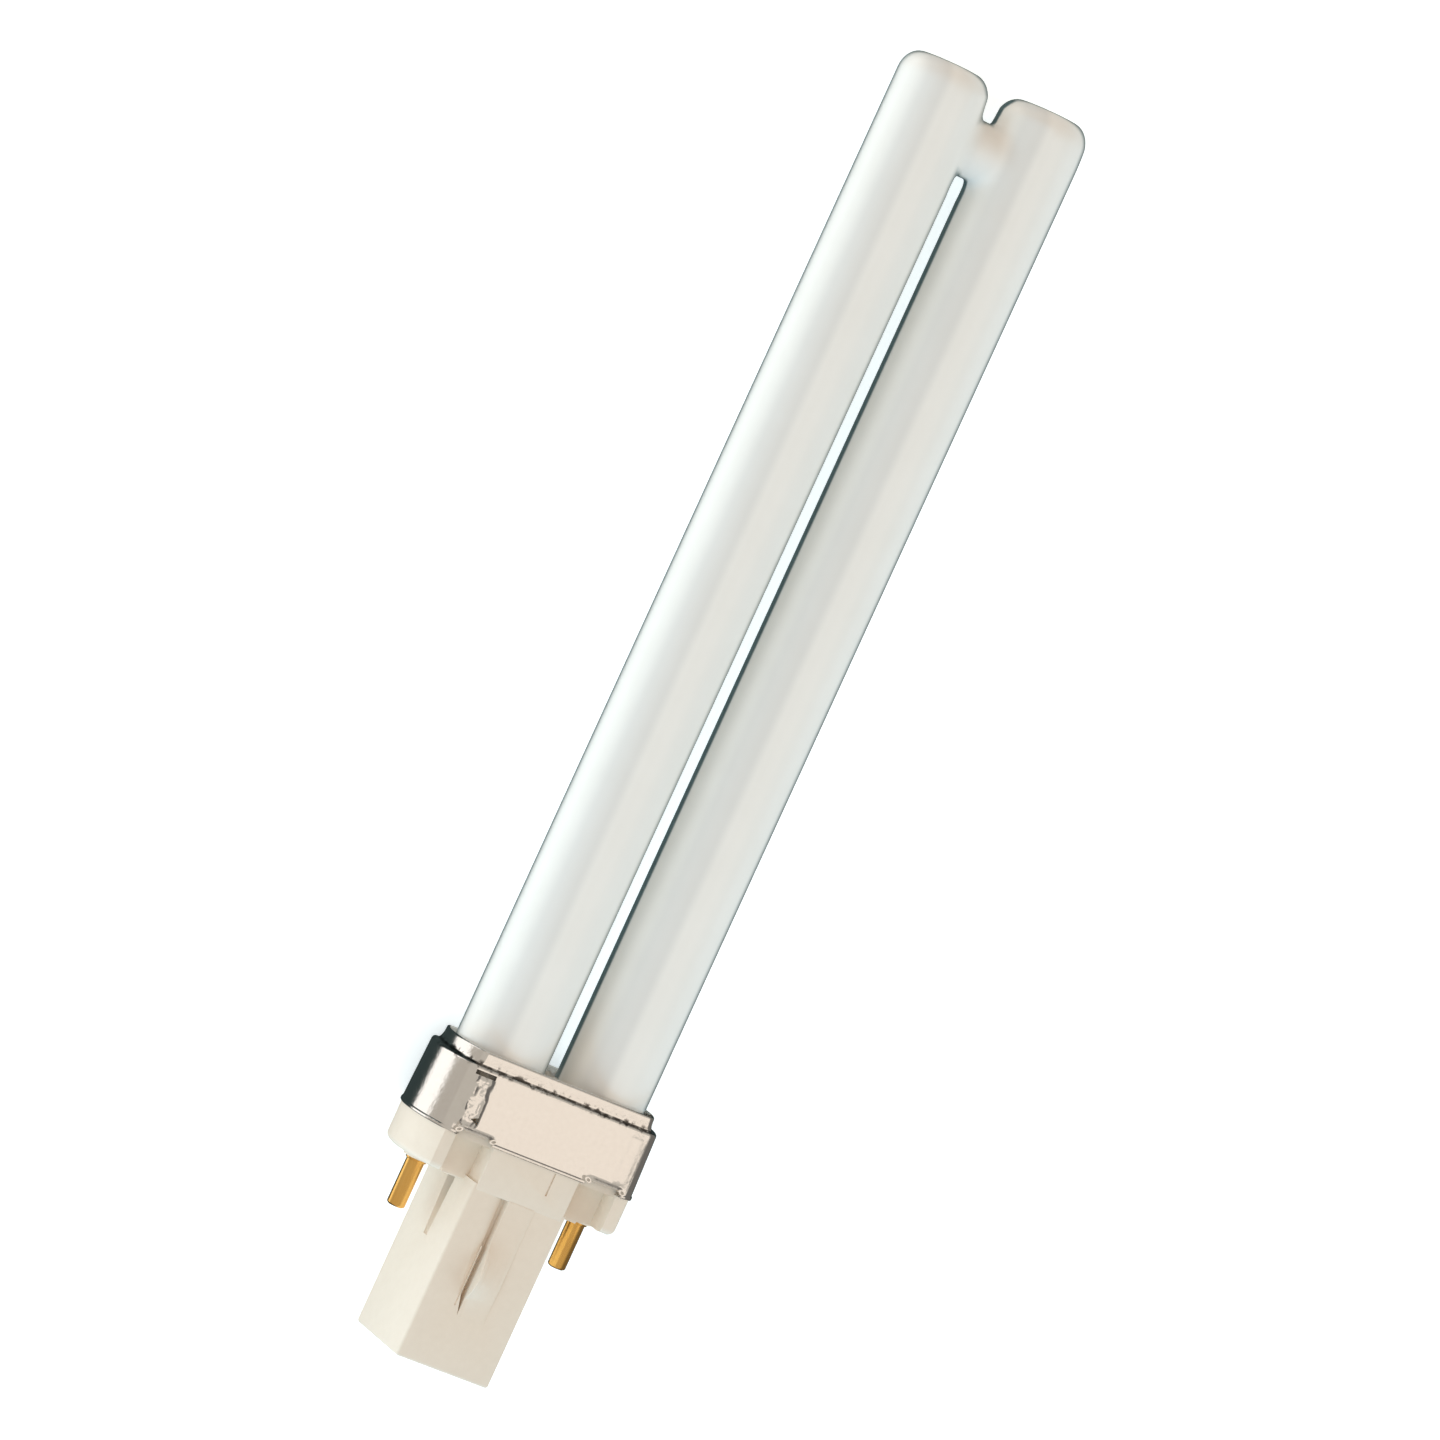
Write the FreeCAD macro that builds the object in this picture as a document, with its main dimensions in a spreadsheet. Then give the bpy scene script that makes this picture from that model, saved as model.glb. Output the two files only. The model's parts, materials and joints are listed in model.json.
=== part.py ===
"""Compact two-pin fluorescent lamp: a U shaped discharge tube on a 23 mm two-pin base.

Every piece is modelled upright in the lamp's own axes: X runs through the two pins and the two tube legs,
Y is the lamp's depth and Z runs up the lamp, with 0 at the underside of the base's shoulders. At the end all
pieces share one placement, which lays the lamp on its back as it comes to rest on a table.
Sizes are millimetres.
"""
import FreeCAD, Part
import math
import os

import Sketcher
from FreeCAD import Placement, Rotation, Vector

SIZES = {
    # Discharge tube: two glass legs and the short bridge between them
    "tube_diameter": 11.7,
    "tube_gap": 2.7,
    "tube_top": 144.5,
    "tube_foot_rise": 0.5,
    "tube_top_radius": 2.1,
    "tube_foot_radius": 1.4,
    "bridge_diameter": 7.4,
    "bridge_drop": 8.0,
    "bridge_blend": 0.7,
    "stub_diameter": 3.0,
    "stub_length": 2.6,
    "stub_chamfer": 0.6,
    "lead_offset": 2.3,
    # Shoulders of the base housing round the tubes, the post and the pins
    "shoulder_side_room": 1.25,
    "shoulder_end_room": 2.2,
    "shoulder_pin_room": 1.95,
    "shoulder_bow": 2.3,
    "shoulder_top": 4.85,
    "shoulder_edge_radius": 0.8,
    "post_setback": 0.1,
    "pad_overhang": 0.4,
    "notch_end_wall": 3.85,
    "notch_wall": 1.25,
    "platform_setback": 1.9,
    "platform_height": 0.5,
    "floor_thickness": 1.8,
    "channel_side_room": 0.7,
    "channel_end_room": 0.1,
    # Rim of the housing that stands inside the collar
    "rim_gap": 0.5,
    "rim_height": 4.55,
    "rim_wall": 1.3,
    "rim_floor": 1.0,
    # Post with the starter inside
    "post_width": 13.0,
    "post_depth": 14.0,
    "post_length": 22.5,
    "post_wall": 1.3,
    "post_face_wall": 1.8,
    "post_floor": 1.2,
    "post_edge_radius": 0.35,
    "post_foot_chamfer": 0.7,
    # Latch tongue, slot and scoops on the post's faces
    "tongue_left": 1.35,
    "tongue_right": 2.35,
    "tongue_proud": 0.1,
    "tongue_tail": 2.2,
    "nose_proud": 1.4,
    "nose_start": 5.5,
    "nose_rise": 5.0,
    "nose_fall": 2.7,
    "slot_width": 0.8,
    "slot_depth": 1.2,
    "slot_point": 1.6,
    "bevel_width": 2.0,
    "bevel_depth": 0.6,
    "bevel_length": 14.0,
    "scoop_width": 2.1,
    "scoop_depth": 0.8,
    "scoop_length": 8.5,
    "scoop_shift": 0.6,
    "mark_place": 2.6,
    "mark_width": 0.3,
    "mark_depth": 0.2,
    "mark_length": 3.1,
    # Contact pins
    "pin_spacing": 23.0,
    "pin_diameter": 2.3,
    "pin_length": 6.8,
    "pin_root_diameter": 2.7,
    "pin_root_proud": 0.3,
    "pin_bore": 0.9,
    "pin_tip": 0.6,
    "pin_tip_chamfer": 0.3,
    "pin_head_diameter": 3.6,
    "pin_head": 0.6,
    "pin_boss_diameter": 3.5,
    # Drawn metal collar
    "collar_proud": 0.1,
    "skirt_height": 8.5,
    "collar_taper": 2.0,
    "collar_sheet": 0.35,
    "collar_edge_radius": 0.3,
    "hem_height": 0.4,
    "hem_proud": 0.12,
    "lip_height": 1.8,
    "lip_tube_gap": 0.25,
    "lip_end_room": 0.15,
    "lip_bow": 2.05,
    "lip_taper": 4.0,
    "lip_flange": 0.25,
    "window_inset": 0.8,
    "window_overlap": 0.1,
    "window_rise": 0.75,
    "crimp_setback": 0.65,
    "crimp_width": 2.9,
    "crimp_rise": 1.15,
    "crimp_drop": 0.85,
    "crimp_push": 0.55,
    "slit_height": 0.55,
    "dent_side": 1.1,
    # Capping cement round the tube feet
    "cement_rise": 0.9,
    "cement_sink": 0.6,
    # Glow starter and suppression capacitor in the post
    "starter_side_gap": 0.1,
    "starter_floor_gap": 1.7,
    "starter_dome": 1.9,
    "pinch_width": 4.4,
    "pinch_thickness": 1.6,
    "pinch_height": 2.4,
    "starter_lead_spacing": 2.4,
    "capacitor_gap": 0.8,
    "capacitor_side_gap": 0.5,
    "capacitor_width": 5.4,
    "capacitor_thickness": 2.4,
    "capacitor_height": 6.4,
    "capacitor_bottom": 12.0,
    "capacitor_edge_radius": 0.6,
    "capacitor_lead_spacing": 3.0,
    # Lead wires and the crimp ferrules that join them
    "lead_diameter": 0.5,
    "lead_bend": 0.9,
    "lead_drop": 3.5,
    "lead_low_turn": 1.0,
    "lead_run": 0.7,
    "ferrule_spacing": 7.0,
    "ferrule_bottom": 3.0,
    "ferrule_height": 2.6,
    "ferrule_wall": 0.28,
    # Clearances, and a cut long enough to pass through both faces
    "through_cut": 20.0,
    "fit_gap": 0.05,
    "lead_gap": 0.02,
}

# Lengths that follow from the sizes, as half lengths from the lamp's axis or heights up it. Where a length
# has to make room for two things, the larger of two sums holds.
PLACES = {
    "leg_place": ["tube_diameter/2 tube_gap/2"],
    "leg_outside": ["leg_place tube_diameter/2"],
    "bridge_height": ["tube_top -bridge_drop"],
    "rim_top": ["shoulder_top rim_height"],
    "tube_foot": ["rim_top tube_foot_rise"],
    "shoulder_depth": ["tube_diameter/2 shoulder_side_room", "post_depth/2 post_setback"],
    "shoulder_end": ["leg_outside shoulder_end_room", "pin_spacing/2 pin_head_diameter/2 shoulder_pin_room"],
    "shoulder_corner": ["shoulder_end -shoulder_bow"],
    "channel_depth": ["pin_head_diameter/2 channel_side_room"],
    "channel_end": ["pin_spacing/2 pin_head_diameter/2 channel_end_room"],
    "notch_start": ["post_width/2 -pad_overhang"],
    "notch_stop": ["shoulder_end -notch_end_wall"],
    "notch_floor": ["channel_depth notch_wall"],
    "platform_reach": ["pin_spacing/2 -platform_setback"],
    "nose_peak": ["nose_start nose_rise"],
    "nose_stop": ["nose_peak nose_fall"],
    "tongue_length": ["nose_stop tongue_tail"],
    "collar_depth": ["shoulder_depth collar_proud"],
    "collar_corner": ["shoulder_corner collar_proud"],
    "collar_end": ["shoulder_end collar_proud"],
    "collar_ledge": ["shoulder_top skirt_height"],
    "collar_top": ["collar_ledge lip_height"],
    "lip_depth": ["tube_diameter/2 lip_tube_gap collar_sheet"],
    "lip_end": ["leg_outside lip_tube_gap collar_sheet lip_end_room"],
    "lip_corner": ["lip_end -lip_bow"],
    "window_start": ["notch_start window_inset"],
    "window_stop": ["notch_stop window_overlap"],
    "crimp_face": ["collar_depth -crimp_push -collar_sheet"],
    "crimp_stop": ["collar_corner -crimp_setback"],
    "crimp_start": ["crimp_stop -crimp_width"],
    "crimp_bottom": ["shoulder_top crimp_rise"],
    "crimp_top": ["collar_ledge -crimp_drop"],
    "rim_depth": ["crimp_face -fit_gap"],
    "rim_corner": ["collar_corner -collar_sheet -rim_gap"],
    "rim_end": ["collar_end -collar_sheet -rim_gap"],
    "cement_bottom": ["rim_top cement_rise"],
    "cement_top": ["collar_top -cement_sink"],
    "post_inside": ["post_depth/2 -post_face_wall"],
    "capacitor_shift": ["post_inside -capacitor_side_gap -capacitor_thickness/2"],
    "starter_room": ["post_inside capacitor_shift -capacitor_thickness/2 -capacitor_gap"],
    "starter_diameter": ["starter_room -starter_side_gap"],
    "starter_shift": ["post_inside -starter_side_gap -starter_diameter/2"],
    "starter_bottom": ["post_length -post_floor -starter_floor_gap"],
    "starter_length": ["starter_bottom -lead_low_turn -lead_run -pinch_height"],
    "lead_turn_height": ["tube_foot -lead_drop"],
}

TOUCH = 1e-4
HALF_TURNS = 2

doc = FreeCAD.newDocument("compact_lamp")
sheet = doc.addObject("Spreadsheet::Sheet", "Dimensions")
for row, (alias, number) in enumerate(SIZES.items(), start=1):
    sheet.set(f"A{row}", alias)
    sheet.set(f"B{row}", str(number))
    sheet.setAlias(f"B{row}", alias)
doc.recompute()


def amount(words):
    """Length that a sum such as "post_width/2 -post_wall" comes to."""
    total = 0.0
    for word in words.split():
        name, _, divisor = word.lstrip("-").partition("/")
        if name in PLACES:
            length = max(amount(choice) for choice in PLACES[name])
        else:
            length = float(sheet.get(name))
        length /= float(divisor or 1)
        total += -length if word.startswith("-") else length
    return total


def formula(words):
    """The same sum as an expression on the sheet's cells."""
    terms = ["0"]
    for word in words.split():
        name, slash, divisor = word.lstrip("-").partition("/")
        if name in PLACES:
            term = "max(" + "; ".join(formula(choice) for choice in PLACES[name]) + ")"
        else:
            term = "Dimensions." + name
        terms.append("-" if word.startswith("-") else "+")
        terms.append(term + slash + divisor)
    return " ".join(terms)


def negative(words):
    """The sum with every sign turned round."""
    return " ".join(word[1:] if word.startswith("-") else "-" + word for word in words.split())


def origin_feature(body, role):
    """Origin plane or axis of a body by its role, such as XY_Plane."""
    return next(item for item in body.Origin.OriginFeatures if item.Role == role)


def new_body(label):
    body = doc.addObject("PartDesign::Body", label)
    body.Label = label
    return body


def new_sketch(body, name, role, height):
    """Sketch on an origin plane of its body, moved along the plane's normal by height."""
    sketch = body.newObject("Sketcher::SketchObject", name)
    sketch.AttachmentSupport = (origin_feature(body, role), [""])
    sketch.MapMode = "FlatFace"
    if height:
        sketch.setExpression("AttachmentOffset.Base.z", formula(height))
    return sketch


def fix_point(sketch, element, end, across, along):
    """Hold one point of a sketch at two sums of sizes; an empty sum is zero."""
    for kind, words in (("DistanceX", across), ("DistanceY", along)):
        number = amount(words)
        index = sketch.addConstraint(Sketcher.Constraint(kind, -1, 1, element, end, number))
        if words:
            sketch.setExpression(f"Constraints[{index}]", formula(words))


def outline(body, name, role, height, path):
    """Closed sketch through corners (x, y); an entry (x, y, "arc") is the middle of a round stretch."""
    sketch = new_sketch(body, name, role, height)
    corners = [place for place in path if len(place) == 2]
    points = [Vector(amount(x), amount(y), 0) for x, y in corners]
    starts = []
    for number, place in enumerate(corners):
        after = (number + 1) % len(corners)
        step = path.index(place) + 1
        middle = path[step % len(path)]
        if len(middle) == 3:
            through = Vector(amount(middle[0]), amount(middle[1]), 0)
            arc = Part.Arc(points[number], through, points[after])
            element = sketch.addGeometry(arc, False)
            forward = sketch.Geometry[element].StartPoint.isEqual(points[number], TOUCH)
            starts.append((element, 1 if forward else 2))
            marker = sketch.addGeometry(Part.Point(through), True)
            fix_point(sketch, marker, 1, middle[0], middle[1])
            sketch.addConstraint(Sketcher.Constraint("PointOnObject", marker, 1, element))
        else:
            element = sketch.addGeometry(Part.LineSegment(points[number], points[after]), False)
            starts.append((element, 1))
    for number, (element, end) in enumerate(starts):
        following, following_end = starts[(number + 1) % len(starts)]
        sketch.addConstraint(Sketcher.Constraint("Coincident", element, 3 - end, following, following_end))
        fix_point(sketch, element, end, corners[number][0], corners[number][1])
    return sketch


def circles(body, name, role, height, centres, diameter):
    """Sketch of equal circles with their centres at sums of sizes."""
    sketch = new_sketch(body, name, role, height)
    for x, y in centres:
        centre = Vector(amount(x), amount(y), 0)
        element = sketch.addGeometry(Part.Circle(centre, Vector(0, 0, 1), amount(diameter) / 2), False)
        fix_point(sketch, element, 3, x, y)
        index = sketch.addConstraint(Sketcher.Constraint("Diameter", element, amount(diameter)))
        sketch.setExpression(f"Constraints[{index}]", formula(diameter))
    return sketch


def rounded_plan(corner, end, depth):
    """Corners of a base plan: straight front and back, and round ends."""
    return [
        (corner, negative(depth)),
        (end, "", "arc"),
        (corner, depth),
        (negative(corner), depth),
        (negative(end), "", "arc"),
        (negative(corner), negative(depth)),
    ]


def rectangle(x0, x1, y0, y1):
    return [(x0, y0), (x1, y0), (x1, y1), (x0, y1)]


def extrude(body, kind, sketch, length, reverse=False, taper="", both_ways=False):
    """Pad or Pocket of a sketch, checked to have changed the body's volume."""
    before = 0.0 if body.Tip is None else body.Tip.Shape.Volume
    feature = body.newObject(kind, sketch.Name + "_" + kind.rpartition(":")[2].lower())
    feature.Profile = sketch
    feature.setExpression("Length", formula(length))
    feature.Reversed = reverse
    feature.FuzzyTolerance = 0
    if both_ways:
        feature.SideType = "Symmetric"
    if taper:
        feature.setExpression("TaperAngle", formula(taper))
    doc.recompute()
    change = feature.Shape.Volume - before
    wanted = 1 if kind.endswith("Pad") else -1
    if change * wanted <= TOUCH:
        raise ValueError(f"{feature.Name} changed the volume by {change:.4f}")
    return feature


def pad(body, sketch, length, **options):
    return extrude(body, "PartDesign::Pad", sketch, length, **options)


def pocket(body, sketch, length, **options):
    return extrude(body, "PartDesign::Pocket", sketch, length, **options)


def loft_cut(body, name, sketches):
    """Cut lofted from the first sketch to the last."""
    before = body.Tip.Shape.Volume
    feature = body.newObject("PartDesign::SubtractiveLoft", name)
    feature.Profile = sketches[0]
    feature.Sections = sketches[1:]
    feature.Ruled = True
    feature.FuzzyTolerance = 0
    doc.recompute()
    if feature.Shape.Volume >= before - TOUCH:
        raise ValueError(f"{name} cut nothing")
    return feature


def edge_names(shape, chosen):
    """Names of the edges for which chosen(edge) is true."""
    return [f"Edge{index}" for index, edge in enumerate(shape.Edges, start=1) if chosen(edge)]


def dress(body, kind, name, size_property, size, chosen):
    """Fillet or Chamfer on the edges picked from the body's present shape."""
    base = body.Tip
    names = edge_names(base.Shape, chosen)
    if not names:
        raise ValueError(f"{name} found no edge")
    feature = body.newObject("PartDesign::" + kind, name)
    feature.Base = (base, names)
    feature.setExpression(size_property, formula(size))
    doc.recompute()
    return feature


def fillet(body, name, radius, chosen):
    return dress(body, "Fillet", name, "Radius", radius, chosen)


def chamfer(body, name, size, chosen):
    return dress(body, "Chamfer", name, "Size", size, chosen)


def half_turn(body, name, features):
    """Repeat features half a turn round the lamp's axis, so that the lamp fits its holder either way."""
    pattern = body.newObject("PartDesign::PolarPattern", name)
    pattern.Originals = features
    pattern.Axis = (origin_feature(body, "Z_Axis"), [""])
    pattern.Angle = 360
    pattern.Occurrences = HALF_TURNS
    pattern.FuzzyTolerance = 0
    body.Tip = pattern
    doc.recompute()
    return pattern


def level(edge, height):
    """Whether an edge lies flat at one height."""
    box = edge.BoundBox
    return abs(box.ZMin - height) < TOUCH and abs(box.ZMax - height) < TOUCH


def upright_at(edge, x, y):
    """Whether a straight edge stands upright at plus or minus x, plus or minus y."""
    box = edge.BoundBox
    narrow = box.XLength < TOUCH and box.YLength < TOUCH and box.ZLength > 1
    return narrow and abs(abs(box.Center.x) - x) < TOUCH and abs(abs(box.Center.y) - y) < TOUCH


def make_discharge_tube():
    """Sealed glass vessel, solid here: two legs, the blown bridge near their tips, and the pumping stubs."""
    body = new_body("discharge_tube")
    axes = [("leg_place", ""), ("-leg_place", "")]
    legs = circles(body, "leg_circles", "XY_Plane", "tube_foot", axes, "tube_diameter")
    pad(body, legs, "tube_top -tube_foot")
    fillet(body, "leg_tips", "tube_top_radius", lambda edge: level(edge, amount("tube_top")))
    fillet(body, "leg_feet", "tube_foot_radius", lambda edge: level(edge, amount("tube_foot")))
    bridge = circles(body, "bridge_circle", "YZ_Plane", "", [("", "bridge_height")], "bridge_diameter")
    pad(body, bridge, "leg_place/0.5", both_ways=True)

    def meets_leg(edge):
        """Whether an edge is one of the two curves where the bridge enters a leg."""
        ends = [vertex.Point for vertex in edge.Vertexes]
        reach = amount("bridge_diameter/2")
        centre = Vector(0, 0, amount("bridge_height"))
        on_bridge = all(abs((end - centre).cross(Vector(1, 0, 0)).Length - reach) < TOUCH for end in ends)
        return on_bridge and edge.BoundBox.XLength > TOUCH and abs(ends[0].x) > TOUCH

    fillet(body, "bridge_blends", "bridge_blend", meets_leg)
    stubs = circles(body, "stub_circles", "XY_Plane", "tube_foot", axes, "stub_diameter")
    pad(body, stubs, "stub_length", reverse=True)
    chamfer(body, "stub_ends", "stub_chamfer", lambda edge: level(edge, amount("tube_foot -stub_length")))
    return body


def make_base_housing():
    """One moulding: notched shoulders, the rim inside the collar and the hollow post with its latches."""
    body = new_body("base_housing")
    plan = rounded_plan("shoulder_corner", "shoulder_end", "shoulder_depth")
    pad(body, outline(body, "shoulder_plan", "XY_Plane", "", plan), "shoulder_top")
    fillet(body, "shoulder_edge", "shoulder_edge_radius", lambda edge: level(edge, 0) and edge.Length < 20)
    plan = rounded_plan("rim_corner", "rim_end", "rim_depth")
    pad(body, outline(body, "rim_plan", "XY_Plane", "shoulder_top", plan), "rim_top -shoulder_top")

    for side in ("", "-"):
        for face in ("", "-"):
            xs = [side + "notch_start", side + "notch_stop"]
            low = face + "notch_floor"
            high = [face + "shoulder_depth", face + "platform_height"]
            corners = [(xs[0], low), (xs[1], low), (xs[1], " ".join(high)), (xs[0], " ".join(high))]
            name = "notch_" + ("right" if side == "" else "left") + ("_back" if face == "" else "_front")
            pocket(body, outline(body, name, "XY_Plane", "", corners), "shoulder_top", reverse=True)

    start, floor, reach = "notch_start", "notch_floor", "platform_reach"
    quarter = [(start, "shoulder_depth"), (start, floor), (reach, floor)]
    right = [(x, negative(y)) for x, y in quarter] + quarter[::-1]
    plate = right + [(negative(x), y) for x, y in right[::-1]]
    pad(body, outline(body, "platform_plan", "XY_Plane", "", plate), "platform_height", reverse=True)
    pins = [("pin_spacing/2", ""), ("-pin_spacing/2", "")]
    bosses = circles(body, "boss_circles", "XY_Plane", "", pins, "pin_boss_diameter")
    pad(body, bosses, "platform_height", reverse=True)

    post = rectangle("-post_width/2", "post_width/2", "-post_depth/2", "post_depth/2")
    pad(body, outline(body, "post_plan", "XY_Plane", "", post), "post_length", reverse=True)
    half_width, half_depth = amount("post_width/2"), amount("post_depth/2")
    chamfer(body, "post_foot", "post_foot_chamfer", lambda edge: level(edge, -amount("post_length")))
    fillet(body, "post_edges", "post_edge_radius", lambda edge: upright_at(edge, half_width, half_depth))

    hollow = rounded_plan("rim_corner -rim_wall", "rim_end -rim_wall", "rim_depth -rim_wall")
    ceiling = "shoulder_top rim_floor"
    rim_hollow = outline(body, "rim_hollow", "XY_Plane", "rim_top", hollow)
    pocket(body, rim_hollow, "rim_top -shoulder_top -rim_floor")
    channel = rounded_plan("channel_end -channel_depth", "channel_end", "channel_depth")
    pocket(body, outline(body, "channel", "XY_Plane", ceiling, channel), ceiling + " -floor_thickness")
    inside = rectangle(
        "-post_width/2 post_wall", "post_width/2 -post_wall",
        "-post_depth/2 post_face_wall", "post_depth/2 -post_face_wall",
    )
    post_hollow = outline(body, "post_hollow", "XY_Plane", ceiling, inside)
    pocket(body, post_hollow, ceiling + " post_length -post_floor")
    holes = circles(body, "pin_holes", "XY_Plane", "floor_thickness", pins, "pin_root_diameter fit_gap/0.5")
    pocket(body, holes, "floor_thickness platform_height")

    add_post_details(body)
    return body


def add_post_details(body):
    """Latch tongue, slot and bevel on the post's face and the scoop on its side, repeated half a turn on."""
    root = "-platform_height"
    proud = "post_depth/2 tongue_proud"
    inner = "post_depth/2 -tongue_proud"
    profile = [
        (negative(inner), root), (negative(proud), root), (negative(proud), "-nose_start"),
        (negative(proud + " nose_proud"), "-nose_peak"), (negative(proud), "-nose_stop"),
        (negative(proud), "-tongue_length"), (negative(inner), "-tongue_length"),
    ]
    tongue_sketch = outline(body, "tongue", "YZ_Plane", "-tongue_left", profile)
    tongue = pad(body, tongue_sketch, "tongue_left tongue_right")

    slot_left = "-tongue_left -slot_width"
    slot = [
        (slot_left, root), ("-tongue_left", root), ("-tongue_left", "-tongue_length slot_point/2"),
        ("-tongue_left -slot_width/2", "-tongue_length"), (slot_left, "-tongue_length slot_point"),
    ]
    slot_sketch = outline(body, "slot", "XZ_Plane", "post_depth/2", slot)
    slot_cut = pocket(body, slot_sketch, "slot_depth")

    face = "-post_depth/2"
    bevel_top = [
        (slot_left + " -bevel_width", face + " -fit_gap"), (slot_left + " slot_width/2", face + " -fit_gap"),
        (slot_left + " slot_width/2", face + " bevel_depth"), (slot_left, face + " bevel_depth"),
    ]
    bevel_end = [
        (slot_left + " -fit_gap", face + " -fit_gap"), (slot_left + " slot_width/2", face + " -fit_gap"),
        (slot_left + " slot_width/2", face + " fit_gap"), (slot_left, face + " fit_gap"),
    ]
    bevel = loft_cut(body, "bevel", [
        outline(body, "bevel_top", "XY_Plane", root, bevel_top),
        outline(body, "bevel_end", "XY_Plane", "-bevel_length", bevel_end),
    ])

    side = "-post_width/2"
    scoop_top = [
        (side + " -fit_gap", "-scoop_shift -scoop_width/2"),
        (side + " -fit_gap", "-scoop_shift scoop_width/2"),
        (side + " scoop_depth", "-scoop_shift"),
    ]
    scoop_end = [
        (side + " -fit_gap", "-scoop_shift -scoop_width/4"),
        (side + " -fit_gap", "-scoop_shift scoop_width/4"),
        (side + " fit_gap", "-scoop_shift"),
    ]
    scoop = loft_cut(body, "scoop", [
        outline(body, "scoop_top", "XY_Plane", root + " -fit_gap", scoop_top),
        outline(body, "scoop_end", "XY_Plane", "-scoop_length", scoop_end),
    ])

    mark = rectangle("mark_place", "mark_place mark_width", "shoulder_top -mark_length", "shoulder_top")
    mark_cut = pocket(body, outline(body, "mark", "XZ_Plane", "shoulder_depth", mark), "mark_depth")
    half_turn(body, "post_details_both_ways", [tongue, slot_cut, bevel, scoop, mark_cut])


def make_metal_collar():
    """Drawn sheet shell: tapered skirt, ledge and lip, with a hem, four windows and the crimps."""
    body = new_body("metal_collar")
    skirt = rounded_plan("collar_corner", "collar_end", "collar_depth")
    height = "collar_ledge -shoulder_top"
    pad(body, outline(body, "skirt_plan", "XY_Plane", "shoulder_top", skirt), height, taper="-collar_taper")
    fillet(body, "ledge_edge", "collar_edge_radius", lambda edge: level(edge, amount("collar_ledge")))
    lip = rounded_plan("lip_corner", "lip_end", "lip_depth")
    pad(body, outline(body, "lip_plan", "XY_Plane", "collar_ledge", lip), "lip_height", taper="-lip_taper")
    fillet(body, "lip_edge", "collar_edge_radius", lambda edge: level(edge, amount("collar_top")))
    hem = rounded_plan("collar_corner hem_proud", "collar_end hem_proud", "collar_depth hem_proud")
    pad(body, outline(body, "hem_plan", "XY_Plane", "shoulder_top", hem), "hem_height")

    inward = " -collar_sheet"
    cavity = rounded_plan("collar_corner" + inward, "collar_end" + inward, "collar_depth" + inward)
    cavity_sketch = outline(body, "skirt_cavity", "XY_Plane", "shoulder_top", cavity)
    pocket(body, cavity_sketch, height + inward, reverse=True, taper="-collar_taper")
    throat = rounded_plan("lip_corner" + inward, "lip_end" + inward, "lip_depth" + inward)
    throat_sketch = outline(body, "lip_cavity", "XY_Plane", "collar_ledge" + inward, throat)
    pocket(body, throat_sketch, "lip_height", reverse=True, taper="-lip_taper")
    rolled = inward + " -lip_flange"
    mouth = rounded_plan("lip_corner" + rolled, "lip_end" + rolled, "lip_depth -collar_sheet -fit_gap")
    pocket(body, outline(body, "lip_mouth", "XY_Plane", "collar_top", mouth), "collar_sheet/0.5")

    for name, side in (("window_left", "-"), ("window_right", "")):
        low, high = "shoulder_top -hem_height", "shoulder_top window_rise"
        opening = rectangle(side + "window_start", side + "window_stop", low, high)
        sketch = outline(body, name, "XZ_Plane", "", opening)
        pocket(body, sketch, "through_cut", both_ways=True)
    add_crimps(body)
    return body


def add_crimps(body):
    """Panels pressed inward beside the ends, each with its walls; one of each pair is slit and dented."""
    wall = "collar_sheet"
    crimps = []
    for name, side in (("crimp_left", "-"), ("crimp_right", "")):
        block = rectangle(
            side + "crimp_start " + negative(side + wall), side + "crimp_stop " + side + wall,
            "crimp_bottom -collar_sheet", "crimp_top collar_sheet",
        )
        panel = rectangle(side + "crimp_start", side + "crimp_stop", "crimp_bottom", "crimp_top")
        block_sketch = outline(body, name + "_block", "XZ_Plane", "crimp_face", block)
        crimps.append(pad(body, block_sketch, "crimp_push"))
        hollow_sketch = outline(body, name + "_hollow", "XZ_Plane", "collar_depth", panel)
        crimps.append(pocket(body, hollow_sketch, "crimp_push"))
    through = "crimp_push collar_sheet fit_gap"
    slit = rectangle("-crimp_stop", "-crimp_start", "crimp_top -slit_height", "crimp_top")
    crimps.append(pocket(body, outline(body, "slit", "XZ_Plane", "collar_depth", slit), through))
    dent = [
        ("-crimp_start", "crimp_bottom dent_side/2"), ("-crimp_start", "crimp_bottom dent_side dent_side/2"),
        ("-crimp_start -dent_side", "crimp_bottom dent_side/2"),
    ]
    crimps.append(pocket(body, outline(body, "dent", "XZ_Plane", "collar_depth", dent), through))
    half_turn(body, "crimps_both_ways", crimps)


def make_capping_cement():
    """Cured cement that holds the tube feet in the collar, a little below the collar's top."""
    body = new_body("capping_cement")
    plug = rounded_plan("rim_corner", "rim_end", "rim_depth")
    step = "collar_ledge -collar_sheet -fit_gap"
    pad(body, outline(body, "cement_plan", "XY_Plane", "cement_bottom", plug), step + " -cement_bottom")
    slim = " -collar_sheet -lip_flange -fit_gap"
    throat = rounded_plan("lip_corner" + slim, "lip_end" + slim, "lip_depth -collar_sheet -fit_gap")
    sketch = outline(body, "cement_throat", "XY_Plane", step, throat)
    pad(body, sketch, "cement_top -collar_ledge collar_sheet fit_gap", taper="-lip_taper")
    axes = [("leg_place", ""), ("-leg_place", "")]
    holes = circles(body, "tube_holes", "XY_Plane", "cement_bottom", axes, "tube_diameter fit_gap/0.5")
    pocket(body, holes, "cement_top -cement_bottom", reverse=True)
    return body


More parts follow.
